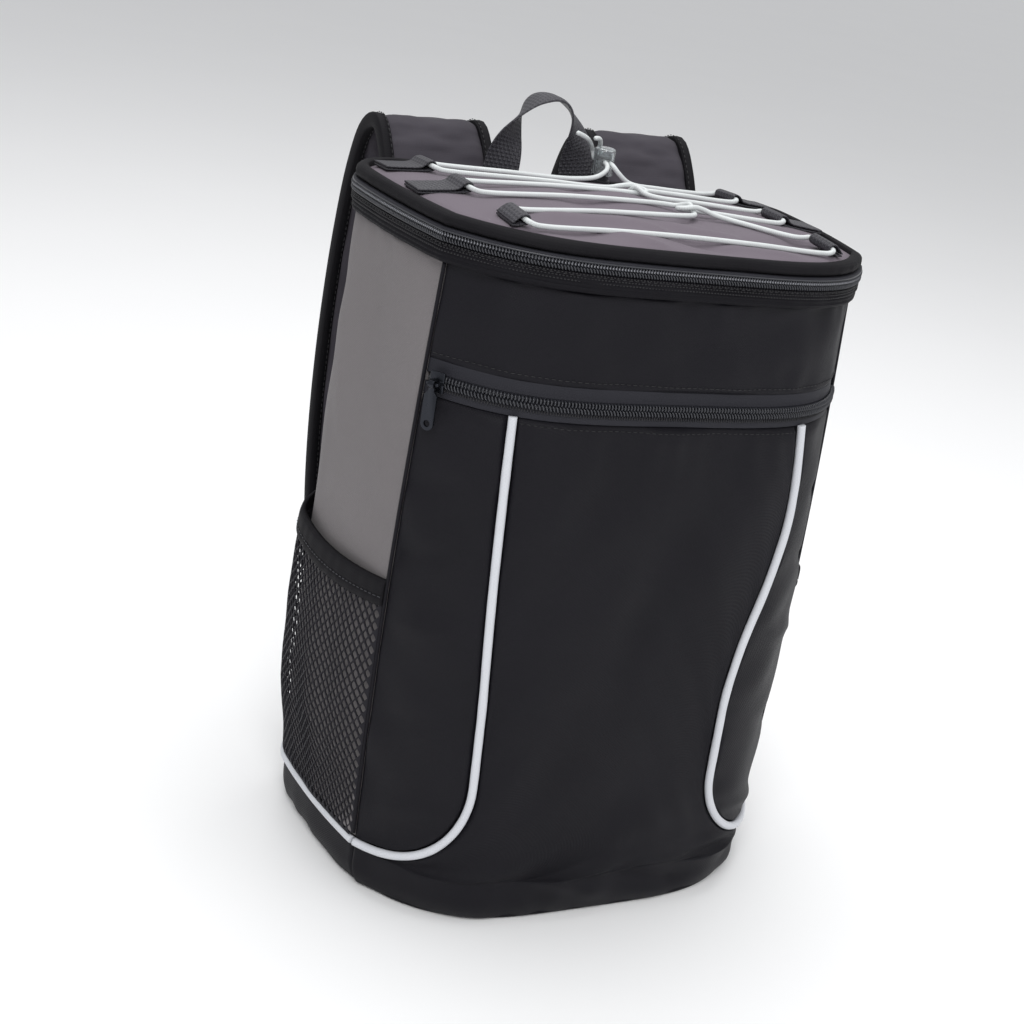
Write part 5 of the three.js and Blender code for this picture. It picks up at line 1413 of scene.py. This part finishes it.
def mesh_depth(t, z):
    """How far the net stands off the side: a rounded half sine across, most of a half sine upwards."""
    rise = np.clip((z - MESH_FOOT) / (MESH_TOP - MESH_FOOT), 0, 1)
    across = np.sin(np.pi * mesh_across(t)) ** 0.7
    upward = np.sin(lerp(0.1, 0.72, rise) * np.pi)
    slack = lerp(0.8, 0.62, rise)
    return GAP + MESH_WALL + slack * MESH_BULGE * across * upward * np.minimum(1, rise * 3)


def net(side):
    """A knitted net as a sheet of diamond cells, each with a rounded hole. Cells lie on a chequered
    lattice, so each cell's four corners and four edge middles are shared with its neighbours."""
    width, height = 0.150, MESH_TOP - MESH_FOOT
    cols = 2 * int(width / sizes().net_width)
    rows = 2 * int(height / sizes().net_height)
    i, j = np.meshgrid(np.arange(1, cols), np.arange(1, rows), indexing="ij")
    keep = (i + j) % 2 == 0
    i, j = i[keep][:, None], j[keep][:, None]
    count = 16
    step = np.arange(count) / (count / 4)
    angle = step * np.pi / 2
    corner = 1 / (np.abs(np.cos(angle)) + np.abs(np.sin(angle)))
    along_edge = step % 1
    quarter = (step // 1).astype(int)
    tips = np.array([[1, 0], [0, 1], [-1, 0], [0, -1]])
    rim = lerp(tips[quarter], tips[(quarter + 1) % 4], along_edge[:, None])
    rim_x, rim_y = i + rim[:, 0], j + rim[:, 1]
    rng = np.random.default_rng(91)
    size = NET_HOLE + rng.uniform(-0.03, 0.03, i.shape)
    hole = lerp(1.0, corner, NET_HOLE_SQUARE)
    hole_x, hole_y = i + size * hole * np.cos(angle), j + size * hole * np.sin(angle)
    keys = np.round(np.stack([rim_x, rim_y], -1).reshape(-1, 2) * 4).astype(int)
    unique, inverse = np.unique(keys, axis=0, return_inverse=True)
    rim_index = inverse.reshape(-1, count)
    hole_index = len(unique) + np.arange(hole_x.size).reshape(-1, count)
    flat = np.concatenate([unique / 4, np.stack([hole_x, hole_y], -1).reshape(-1, 2)])
    faces = np.stack([rim_index, np.roll(rim_index, -1, 1), np.roll(hole_index, -1, 1), hole_index], -1)
    border = []
    for far, run, flip in ((rows, cols, 1), (cols, rows, -1)):
        for edge in (0, far):
            x = np.arange(edge % 2, run + 1, 2)
            x = x[(x > 0) & (x < run)]
            inner = 1 if edge == 0 else -1
            border.append(np.stack([np.stack([x - 1, 0 * x + edge], -1), np.stack([x + 1, 0 * x + edge], -1),
                                    np.stack([x, 0 * x + edge + inner], -1)], 1)[..., ::flip])
    triangles = np.concatenate(border).astype(float)
    tri_index = len(flat) + np.arange(triangles.shape[0] * 3).reshape(-1, 3)
    flat = np.concatenate([flat, triangles.reshape(-1, 2)])
    t = lerp(MESH_REAR, 0.998, flat[:, 0] / cols)
    top = mesh_top(t)
    z = lerp(MESH_FOOT, top + 0.002, flat[:, 1] / rows)
    wrinkle = waves(t * SIDE_LENGTH, z, 92, 0.05, 0.0006) * np.sin(np.pi * mesh_across(t))
    points = side_point(side, t, z, -mesh_depth(t, z) + MESH_WALL / 2 - wrinkle)
    return points, [faces.reshape(-1, 4), tri_index], np.stack([t * SIDE_LENGTH, z], -1)


def build_mesh_pockets():
    """The side pockets: a net with real holes, an elastic binding along its top and its row of stitches."""
    for name, side in SIDES.items():
        points, faces, uv = net(side)
        piece = new_piece(f"mesh_net_{name}", points, faces, "net",
                          [f"mesh_pocket_{name}"], uv=uv, closed=False)
        merge_doubles(piece)
        solidify = piece.modifiers.new("strand thickness", "SOLIDIFY")
        solidify.thickness = NET_STRAND
        solidify.offset = 0
        t = np.linspace(MESH_REAR - 0.005, 0.999, 140)
        low = mesh_top(t) - BINDING_LAP
        share = np.linspace(0, 1, 24)[:, None]
        height = BINDING_HEIGHT + BINDING_LAP
        z = low[None] + height * share
        lean = 0.002 * share * np.sin(np.pi * mesh_across(t))
        depth = -mesh_depth(t, mesh_top(t))[None] + lean - 0.0014 + 0.0012 * (2 * share - 1) ** 6
        groove = 0.0006 * np.exp(-((share - BINDING_SEAM) / 0.045) ** 2)
        run = lengths(side_point(side, t, mesh_top(t)))[None]
        gather = puckers(run + 0 * share, 0 * share, 95 + side, 0.012, 1.0, 0.00012)
        outer = side_point(side, t[None], z, depth + groove - gather)
        inner = side_point(side, t[None], z, depth + BINDING_THICK - 0.0003)
        points, faces = shell(outer, inner)
        across, along = spans(outer)
        uv = np.stack([across, along], -1).reshape(-1, 2)
        new_piece(f"mesh_pocket_binding_{name}", points, faces, "binding",
                  [f"mesh_binding_{name}"], uv=np.concatenate([uv, uv]))
        line = side_point(side, t, low + height * BINDING_SEAM, depth[8] - 0.0001)
        add_shape(f"binding_stitching_{name}", stitches([(line, wall_normals(line))]), "coil")


def merge_doubles(piece):
    with edit_mesh(piece.data) as work:
        bmesh.ops.remove_doubles(work, verts=work.verts, dist=1e-6)


# Webbing and cord

def ribbon(line, thick, width, basis, count=90, power=0):
    """Webbing bent along a line of (x, y) points: a flat section carried along it, its width on the
    third direction of the basis, which is origin, x, y and z directions."""
    origin, x_way, y_way, z_way = basis
    curve = resample(catmull(line, 12, power), count)
    way = tangents(curve)
    middle = origin + curve[:, :1] * x_way + curve[:, 1:] * y_way
    face = -way[:, 1:] * x_way + way[:, :1] * y_way
    wide = np.broadcast_to(z_way, middle.shape)
    return sweep(middle, wide, face, flat_section(width, thick))


def lid_edge_x(y):
    loop = outline(LID_BAND_Z, LID_INSET)[0]
    right = loop[loop[:, 0] > 0]
    right = right[np.argsort(right[:, 1])]
    return np.interp(y, right[:, 1], right[:, 0])


def build_loops():
    """Six webbing loops on the lid: sewn down at its edge, folded back over themselves round an eye."""
    for name, side in SIDES.items():
        for row in LOOP_ROWS:
            y, half = row["y"], LOOP_WIDTH / 2
            edge_x = min(lid_edge_x(y - half), lid_edge_x(y + half))
            start = lid_point(side * (edge_x - 0.001), y)
            end = lid_point(side * row["eye_x"], y)
            along = unit(end - start)
            across = unit(lid_point(side * row["eye_x"], y + half) - lid_point(side * row["eye_x"], y - half))
            up = np.cross(across, along) * side
            wide = np.cross(along, up)
            length = np.linalg.norm(end - start)
            low = LOOP_SEAT + LOOP_THICK / 2
            high = low + LOOP_THICK + 0.0002
            radius = LOOP_EYE + LOOP_THICK / 2
            middle = LOOP_EYE_HEIGHT
            angle = np.linspace(-np.pi / 2, np.pi / 2, 7)
            eye = np.stack([length + radius * np.cos(angle), middle + radius * np.sin(angle)], -1)
            line = np.concatenate([
                [[0, low], [length / 2, low], [length - 1.5 * radius, low + 0.0002]], eye,
                [[length - radius, middle + 0.75 * radius], [length - 2.4 * radius, high + 0.3 * radius],
                 [length / 2 - 1.2 * radius, high], [0, high]],
            ])
            label = f"{name}_{row['name']}"
            add_shape(f"lid_loop_{label}",
                      ribbon(line, LOOP_THICK, LOOP_WIDTH, (start, along, up, wide), power=0.5),
                      "webbing", [f"webbing_loop_{label}"])


def build_cord():
    """The elastic cord: a round braid on one smooth curve through its route, with melted ends."""
    route = np.array(CORD_ROUTE) / 1000
    path = catmull(lid_point(route[:, 0], route[:, 1], route[:, 2]), 14)
    path = resample(path, 1500)
    way = tangents(path)
    reference = unit(np.array([0.45, 0.25, 1.0]))
    a = unit(np.cross(way, reference))
    b = np.cross(way, a)
    run = lengths(path)
    from_end = np.minimum(run, run[-1] - run)
    radius = CORD_RADIUS * 1.03 * np.sqrt(np.clip(from_end / CORD_MELT, 0.05, 1))
    add_shape("lid_elastic_cord", sweep(path, a, b, circle(1.0, 14)[None] * radius[:, None, None]),
              "cord", ["bungee_cord"])


def lathe(profile, count, centre):
    """A profile of (radius, z) points turned about an upright axis, closed from its last to its first."""
    profile = np.asarray(profile)
    angle = np.linspace(0, 2 * np.pi, count, endpoint=False)
    grid = np.stack([profile[:, :1] * np.cos(angle), profile[:, :1] * np.sin(angle),
                     np.broadcast_to(profile[:, 1:], (len(profile), count))], -1) + centre
    return grid.reshape(-1, 3), tube_faces(len(profile), count)


def cut_hole(piece, low, high, centre):
    """Cuts the cords' cross hole through a piece, with round ends, and keeps the result as its mesh."""
    half = (high - low) / 2
    wide = LOCK_CORD_SPACING / 2
    angle = np.linspace(-np.pi / 2, np.pi / 2, 12)
    right = np.stack([wide + half * np.cos(angle), half * np.sin(angle)], -1)
    section = np.concatenate([right, -right])
    path = np.array([[0, -0.02, 0], [0, 0.02, 0]]) + centre + (0, 0, (low + high) / 2)
    a = np.broadcast_to([1.0, 0, 0], path.shape)
    b = np.broadcast_to([0.0, 0, 1.0], path.shape)
    points, faces, _ = sweep(path, a, b, section)
    mesh = bpy.data.meshes.new("cutter")
    mesh.from_pydata(points.tolist(), [], [f.tolist() for group in faces for f in group])
    cutter = add_object("cutter", mesh)
    with edit_mesh(mesh) as work:
        bmesh.ops.recalc_face_normals(work, faces=work.faces)
    cut = piece.modifiers.new("cross hole", "BOOLEAN")
    cut.object = cutter
    cut.solver = "EXACT"
    apply_modifiers(piece)
    bpy.data.objects.remove(cutter)
    round_edges(piece, 0.0003, 2, 35)


def build_cord_lock():
    """The cord lock: a clear barrel with a collar at its foot, over a black button, both cross drilled."""
    centre = lid_point(LOCK_X, LOCK_Y, LOCK_LIFT)
    low, high = LOCK_HOLE_Z - LOCK_HOLE_HALF, LOCK_HOLE_Z + LOCK_HOLE_HALF
    angle = np.linspace(0, np.pi / 2, 7)
    dome = np.stack([LOCK_RADIUS - 0.0022 + 0.0022 * np.cos(angle),
                     LOCK_HEIGHT - 0.0022 + 0.0022 * np.sin(angle)], -1)
    profile = np.concatenate([
        [[LOCK_BORE, 0.0], [LOCK_RADIUS - 0.0004, 0.0], [LOCK_RADIUS, 0.0005], [LOCK_RADIUS, 0.0022],
         [LOCK_RADIUS - 0.0004, 0.0027], [LOCK_RADIUS - 0.0004, 0.0040]], dome,
        [[0.00001, LOCK_HEIGHT], [0.00001, LOCK_ROOF], [LOCK_BORE, LOCK_ROOF]],
    ])
    points, faces = lathe(np.concatenate([profile, profile[:1]]), 56, centre)
    barrel = new_piece("lock_barrel", points, faces[:1], "clear",
                       ["cord_lock_barrel"])
    merge_doubles(barrel)
    cut_hole(barrel, low, high, centre)
    head_top = -BUTTON_TRAVEL - LOCK_CLEARANCE
    stem = LOCK_BORE - LOCK_CLEARANCE
    stem_top = LOCK_ROOF - BUTTON_TRAVEL - LOCK_CLEARANCE
    profile = [[0.00001, head_top - BUTTON_HEAD], [BUTTON_HEAD_RADIUS - 0.0006, head_top - BUTTON_HEAD],
               [BUTTON_HEAD_RADIUS, head_top - BUTTON_HEAD + 0.0006], [BUTTON_HEAD_RADIUS, head_top - 0.0004],
               [BUTTON_HEAD_RADIUS - 0.0004, head_top], [stem, head_top], [stem, stem_top - 0.0004],
               [stem - 0.0004, stem_top], [0.00001, stem_top]]
    points, faces = lathe(profile, 56, centre)
    button = new_piece("lock_button_black", points, faces, "plastic",
                       ["cord_lock_button"], body="lock_button")
    cut_hole(button, low - BUTTON_TRAVEL, high, centre)


def build_handle():
    """The grab handle: webbing that lies flat on the rim's back and turns over by a quarter as it rises."""
    foot = LID_BAND_Z - 0.004
    line = np.array(HANDLE_LINE)
    arch = np.stack([HANDLE_X + line[:, 0] * HANDLE_HALF_SPAN, np.full(len(line), HANDLE_Y),
                     foot + line[:, 1] * HANDLE_RISE], -1)
    path = resample(catmull(arch, 16), 150)
    way = tangents(path)
    share = np.linspace(0, 1, len(path))[:, None]
    turn = np.pi / 2 * smoothstep((np.abs(2 * share - 1) - 0.05) / 0.75)
    inward = np.stack([way[:, 2], 0 * way[:, 0], -way[:, 0]], -1) * np.where(share < 0.5, 1, -1)
    wide = unit(np.array([0, 1.0, 0]) * np.cos(turn) + inward * np.sin(turn))
    face = unit(np.cross(way, wide))
    section = flat_section(WEBBING_WIDTH, WEBBING_THICK * 0.95, 56)
    bow = 0.0012 * (1 - (section[:, 0] / WEBBING_WIDTH * 2) ** 2)
    section = np.stack([section[:, 0], section[:, 1] + bow - 0.0006], -1)
    add_shape("handle_webbing", sweep(path, wide, face, section), "webbing", ["grab_handle"])
    rows = []
    reach = 0.42 * WEBBING_WIDTH
    for x in (HANDLE_X - HANDLE_HALF_SPAN, HANDLE_X + HANDLE_HALF_SPAN):
        for up in (0.002, 0.0045, 0.007):
            line = np.array([[x - reach, 0, 0], [x + reach, 0, 0]]) + (0, HANDLE_Y + 0.0011, foot + up)
            line = resample(line, 8)
            line[:, 2] -= LID_SLANT * line[:, 0]
            rows.append((line, np.broadcast_to([0, 1.0, 0], line.shape)))
    add_shape("handle_bartacks", stitches(rows), "thread")


# Shoulder straps

def strap_path(count):
    """The strap's middle line in the plane of y and z, and its half width and sideways place."""
    line = [[0, BACK_Y + lerp(STRAP_SEAT, STRAP_REACH, row["out"]), row["height"] * BODY_HEIGHT]
            for row in STRAP_LINE]
    path = resample(catmull(line, 20), count)
    share = np.linspace(0, 1, count)
    drift = smoothstep((share - 0.35) / 0.65)
    return path, lerp(STRAP_X_TOP, STRAP_X_END, drift), lerp(STRAP_WIDTH_TOP, STRAP_WIDTH_END, drift) / 2


def strap_frame(side, count):
    path, x, half = strap_path(count)
    way = tangents(path)
    path = path.copy()
    path[:, 0] = side * x
    wide = np.broadcast_to([1.0, 0, 0], path.shape)
    face = unit(np.cross(way, wide))
    return path, wide, face, half


def inflate(piece, voxel, pressure, cap, frames=20):
    """Lets a closed pad swell as cloth under pressure, with no gravity, and keeps the result. No point
    may move further than the cap."""
    remesh = piece.modifiers.new("even faces", "REMESH")
    remesh.mode = "VOXEL"
    remesh.voxel_size = voxel
    mesh = apply_modifiers(piece)
    cloth = piece.modifiers.new("swell", "CLOTH")
    cloth.settings.quality = 4
    cloth.settings.use_pressure = True
    cloth.settings.uniform_pressure_force = pressure
    cloth.settings.effector_weights.gravity = 0
    scene = bpy.context.scene
    for number in range(1, frames + 1):
        scene.frame_set(number)
    graph = bpy.context.evaluated_depsgraph_get()
    swollen = mesh_points(piece.evaluated_get(graph).data)
    piece.modifiers.clear()
    scene.frame_set(1)
    start = mesh_points(mesh)
    move = swollen - start
    size = np.linalg.norm(move, axis=1, keepdims=True)
    move *= np.minimum(1, cap / np.maximum(size, 1e-9))
    mesh.vertices.foreach_set("co", (start + move).ravel())
    mesh.update()


def build_straps():
    """The shoulder straps: foam pads swollen as cloth, with a stitched channel along each edge and a
    binding tape folded over the edge."""
    for name, side in SIDES.items():
        path, wide, face, half = strap_frame(side, 90)
        section = flat_section(1.0, 1.0, 48)[None] * np.stack(
            [2 * half - 0.003, np.full(len(half), STRAP_THICK - 0.003)], -1)[:, None]
        pad = add_shape(f"strap_pad_{name}", sweep(path, wide, face, section), "strap",
                        [f"shoulder_strap_{name}"])
        inflate(pad, voxel=0.0042, pressure=4.0, cap=0.0022)
        groove_strap(pad, path, face, half)
        subdivision = pad.modifiers.new("smooth", "SUBSURF")
        subdivision.levels = subdivision.render_levels = 1
        parts, rows = [], []
        for hand in (-1, 1):
            edge = path + wide * (hand * (half - STRAP_TAPE_FOLD))[:, None]
            reach = section_half_moon(STRAP_TAPE, STRAP_THICK * 0.40)
            parts.append(sweep(edge, wide * hand, face, reach))
            for up in (-1, 1):
                line = path + wide * (hand * (half - STRAP_TAPE))[:, None] + face * (up * 0.0051)
                rows.append((line, face * up))
        add_shape(f"strap_binding_{name}", joined(parts), "binding")
        add_shape(f"strap_stitching_{name}", stitches(rows), "thread")


def section_half_moon(width, half_thick, count=22):
    """The section of a tape folded over an edge: round outside, open flaps of even thickness inside."""
    angle = np.linspace(-np.pi / 2, np.pi / 2, count // 2)
    nose = np.stack([STRAP_TAPE_FOLD + half_thick * 0.35 * np.cos(angle), half_thick * np.sin(angle)], -1)
    return np.concatenate([[[-width, -half_thick + 0.0004]], nose, [[-width, half_thick - 0.0004]],
                           [[-width, half_thick - 0.0014], [-width, -half_thick + 0.0014]]])


def groove_strap(pad, path, face, half):
    """Gives the pad its UV map and its sewn look: points are measured against the strap's middle line,
    pressed in near the edges, and wrinkled across on the inside of the bend."""
    mesh = pad.data
    points = mesh_points(mesh)
    nearest = np.argmin(((points[:, None, 1:] - path[None, :, 1:]) ** 2).sum(-1), axis=1)
    off = points - path[nearest]
    across = off[:, 0]
    up = np.sum(off * face[nearest], axis=-1)
    edge = half[nearest] - np.abs(across)
    run = lengths(path)[nearest]
    press = np.exp(-((edge - 0.0062) / 0.0022) ** 2) * 0.0012
    bend = np.exp(-((run - 0.11) / 0.06) ** 2)
    wrinkle = bend * 0.0009 * np.sin(run * 2 * np.pi / 0.017 + waves(across, run, 101, 0.05, 1.2))
    amount = -press + wrinkle + waves(across, run, 102, 0.045, 0.0004)
    points += face[nearest] * (np.sign(up) * amount)[:, None]
    mesh.vertices.foreach_set("co", points.ravel())
    corners = np.empty(len(mesh.loops), np.int32)
    mesh.loops.foreach_get("vertex_index", corners)
    layer = mesh.uv_layers.get("cloth") or mesh.uv_layers.new(name="cloth")
    uv = np.stack([across + 0.2 * (up > 0), run], -1)
    layer.data.foreach_set("uv", uv[corners].ravel())
    mesh.polygons.foreach_set("use_smooth", np.ones(len(mesh.polygons), bool))
    if not mesh.materials:
        mesh.materials.append(MATERIALS["strap"])
    mesh.update()


ADJUSTER_LENGTH = 0.030
ADJUSTER_THICK = 0.004
ADJUSTER_BAR = 0.0045
ADJUSTER_DROP = 0.009
TAIL_LENGTH = 0.070
TAIL_SWAY = 0.003
WEBBING_FOOT = [
    {"out": 0, "up": 0.32},
    {"out": 0.02, "up": 0.65},
    {"out": 0.28, "up": 1.3},
]


def build_strap_ends():
    """Below each strap: the moulded adjuster, the tab that holds it and the webbing with its tail."""
    path = strap_path(400)[0]
    end, down = path[-1], tangents(path)[-1]
    across = np.array([1.0, 0, 0])
    out = np.cross(across, down)
    thick = WEBBING_THICK
    top, reach = ADJUSTER_DROP, ADJUSTER_DROP + ADJUSTER_LENGTH
    middle_bar = top + ADJUSTER_LENGTH / 2
    clear = ADJUSTER_THICK / 2 + thick / 2 + GAP
    upper = (top + ADJUSTER_BAR + middle_bar - ADJUSTER_BAR / 2) / 2
    fold = (middle_bar + ADJUSTER_BAR / 2 + reach - ADJUSTER_BAR) / 2
    leg = [[-0.004, clear + thick * 0.9], [GAP, clear + thick * 0.6], [top * 0.65, clear + thick * 0.4],
           [top + thick, clear], [upper - thick / 2, clear - thick * 0.15]]
    tab = np.array(leg + [[upper + thick * 0.6, 0]] + [[y, -z] for y, z in reversed(leg)])
    inward = 1 if out[1] < 0 else -1

    def at(along, off):
        point = end + down * along + out * (inward * off)
        return [point[1], point[2]]

    sewn_y = BACK_Y + 0.0005 + thick / 2
    boot_top = SIDE_PIPING_Z - PIPING_SEAT
    foot = [[sewn_y + row["out"] * WEBBING_WIDTH, boot_top + row["up"] * WEBBING_WIDTH]
            for row in WEBBING_FOOT]
    hang = at(reach + thick * 3, -clear - thick * 0.3)
    line = np.array(foot + [
        at(reach + thick * 5, clear + thick * 0.7), at(reach - thick, clear + thick * 0.2),
        at(fold + thick * 0.7, clear - thick * 0.2), at(fold - thick * 0.4, 0),
        at(fold + thick * 0.7, -clear + thick * 0.2), at(reach - thick, -clear), hang,
        [hang[0] + TAIL_SWAY, hang[1] - TAIL_LENGTH * 0.4],
        [hang[0] + TAIL_SWAY / 3, hang[1] - TAIL_LENGTH * 0.8]])
    y_way, z_way = np.array([0, 1.0, 0]), np.array([0, 0, 1.0])
    for name, side in SIDES.items():
        shift = across * side * STRAP_X_END
        add_shape(f"adjuster_tab_{name}",
                  ribbon(tab, thick * 0.95, WEBBING_WIDTH - 0.001, (end + shift, down, out, across)),
                  "webbing", [f"strap_tab_{name}"])
        add_shape(f"lower_webbing_{name}",
                  ribbon(line, thick * 0.95, WEBBING_WIDTH - 0.001, (shift, y_way, z_way, across), 200),
                  "webbing", [f"strap_webbing_{name}"])
        bevelled(f"adjuster_{name}", f"strap_adjuster_{name}", "plastic", 0.0009)


# Stage

def aim(thing, at, right, back):
    """Puts a light or a camera at a place, with its right-hand side and its back turned as given."""
    turned = np.column_stack([right, np.cross(back, right), back, at])
    thing.matrix_world = Matrix(np.vstack([turned, [0, 0, 0, 1]]).tolist())


def build_stage():
    """A pale floor, soft studio lights and the camera at the photograph's place."""
    scene = bpy.context.scene
    scene.view_settings.view_transform = "Standard"
    bpy.ops.mesh.primitive_plane_add(size=80, location=(0, 0, -0.0002))
    floor = bpy.context.object
    floor.name = "floor"
    material, tree, shader = new_material("matt_white_paint")
    shade = tinted(tree, (0.93, 0.93, 0.93), noise_node(tree, 3.0), 0.99, 1.01)
    set_inputs(tree, shader, {"Base Color": shade, "Roughness": 0.9})
    floor.data.materials.append(material)
    floor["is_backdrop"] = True
    world = bpy.data.worlds.new("soft studio")
    world.use_nodes = True
    world.node_tree.nodes["Background"].inputs["Color"].default_value = (0.97, 0.98, 1.0, 1)
    world.node_tree.nodes["Background"].inputs["Strength"].default_value = 0.6
    scene.world = world
    lights = [
        {"name": "key", "place": (-0.9, -1.5, 1.9), "size": 1.3, "power": 26.0},
        {"name": "fill", "place": (1.6, -1.3, 1.1), "size": 1.4, "power": 5.5},
        {"name": "top", "place": (0.1, 0.5, 2.2), "size": 1.6, "power": 23.0},
    ]
    for row in lights:
        data = bpy.data.lights.new(row["name"], "AREA")
        data.shape = "DISK"
        data.size = row["size"]
        data.energy = row["power"]
        light = add_object(row["name"], data)
        place_at = np.array(row["place"])
        back = unit(place_at - (0, 0, 0.22))
        right = unit(np.cross((0, 0, 1.0), back))
        aim(light, place_at, right, back)
    data = bpy.data.cameras.new("camera")
    data.lens = CAMERA_LENS
    data.sensor_width = SENSOR_WIDTH
    camera = add_object("camera", data)
    azimuth, elevation, roll = (math.radians(v) for v in (CAMERA_AZIMUTH, CAMERA_ELEVATION, CAMERA_ROLL))
    back = np.array([math.sin(azimuth) * math.cos(elevation), -math.cos(azimuth) * math.cos(elevation),
                     math.sin(elevation)])
    level = np.array([math.cos(azimuth), math.sin(azimuth), 0])
    upright = np.cross(back, level)
    right = level * math.cos(roll) + upright * math.sin(roll)
    aim(camera, CAMERA_PLACE, right, back)
    scene.camera = camera


# Add-on: one operator for each step, in the order in which main runs them

STEPS = [
    ("stage", "Stage", "Adds the floor, the lights and the camera", build_stage),
    ("materials", "Materials", "Makes one material for each finish", make_materials),
    ("front", "Front panels", "Adds the front panels with their folds and topstitching", build_front),
    ("sides", "Side panels", "Adds the two grey side panels", build_sides),
    ("back", "Back panel", "Adds the quilted back panel", build_back),
    ("foot", "Foot", "Adds the boot, the floor panel and the front's rolled foot edge", build_foot),
    ("piping", "Piping", "Adds the piping, its flanges and the strip behind the pocket zip", build_piping),
    ("pocket_zip", "Pocket zip", "Adds the pocket zip with its coil, slider and pull", build_pocket_zip),
    ("rim", "Rim and main zip", "Adds the rim's bands and the main zip", build_rim),
    ("lid", "Lid", "Adds the lid's charcoal top", build_lid),
    ("mesh_pockets", "Net pockets", "Adds the two net pockets with their bindings", build_mesh_pockets),
    ("loops", "Webbing loops", "Adds the six webbing loops on the lid", build_loops),
    ("cord", "Elastic cord", "Adds the laced elastic cord", build_cord),
    ("cord_lock", "Cord lock", "Adds the cord lock's barrel and button", build_cord_lock),
    ("handle", "Grab handle", "Adds the grab handle", build_handle),
    ("straps", "Shoulder straps", "Adds the padded shoulder straps", build_straps),
    ("strap_ends", "Strap ends", "Adds the straps' adjusters, tabs and lower webbing", build_strap_ends),
]


def make_operator(name, label, description, build):
    """The operator of one step, which runs the step's building function."""
    def execute(self, context):
        build()
        return {"FINISHED"}

    return type(f"BACKPACK_OT_{name}", (bpy.types.Operator,), {
        "__doc__": description,
        "bl_idname": f"backpack.{name}",
        "bl_label": label,
        "execute": execute,
    })


OPERATORS = [make_operator(*step) for step in STEPS]


class BACKPACK_PT_panel(bpy.types.Panel):
    """Lists the backpack's sizes, colours and pieces"""
    bl_idname = "BACKPACK_PT_panel"
    bl_label = "Backpack"
    bl_space_type = "VIEW_3D"
    bl_region_type = "UI"
    bl_category = "Backpack"

    def draw(self, context):
        for group in (context.scene.backpack_sizes, context.scene.backpack_colours):
            box = self.layout.box()
            for name in group.__annotations__:
                box.prop(group, name)
        for operator in OPERATORS:
            self.layout.operator(operator.bl_idname)


CLASSES = [BackpackSizes, BackpackColours, *OPERATORS, BACKPACK_PT_panel]


def register():
    for item in CLASSES:
        bpy.utils.register_class(item)
    bpy.types.Scene.backpack_sizes = PointerProperty(type=BackpackSizes)
    bpy.types.Scene.backpack_colours = PointerProperty(type=BackpackColours)


def unregister():
    del bpy.types.Scene.backpack_colours
    del bpy.types.Scene.backpack_sizes
    for item in reversed(CLASSES):
        bpy.utils.unregister_class(item)


def corners():
    return [[float(v) for v in corner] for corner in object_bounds()]


def main():
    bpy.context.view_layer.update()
    register()
    for name, _, _, _ in STEPS:
        getattr(bpy.ops.backpack, name)()


if __name__ == "__main__":
    main()
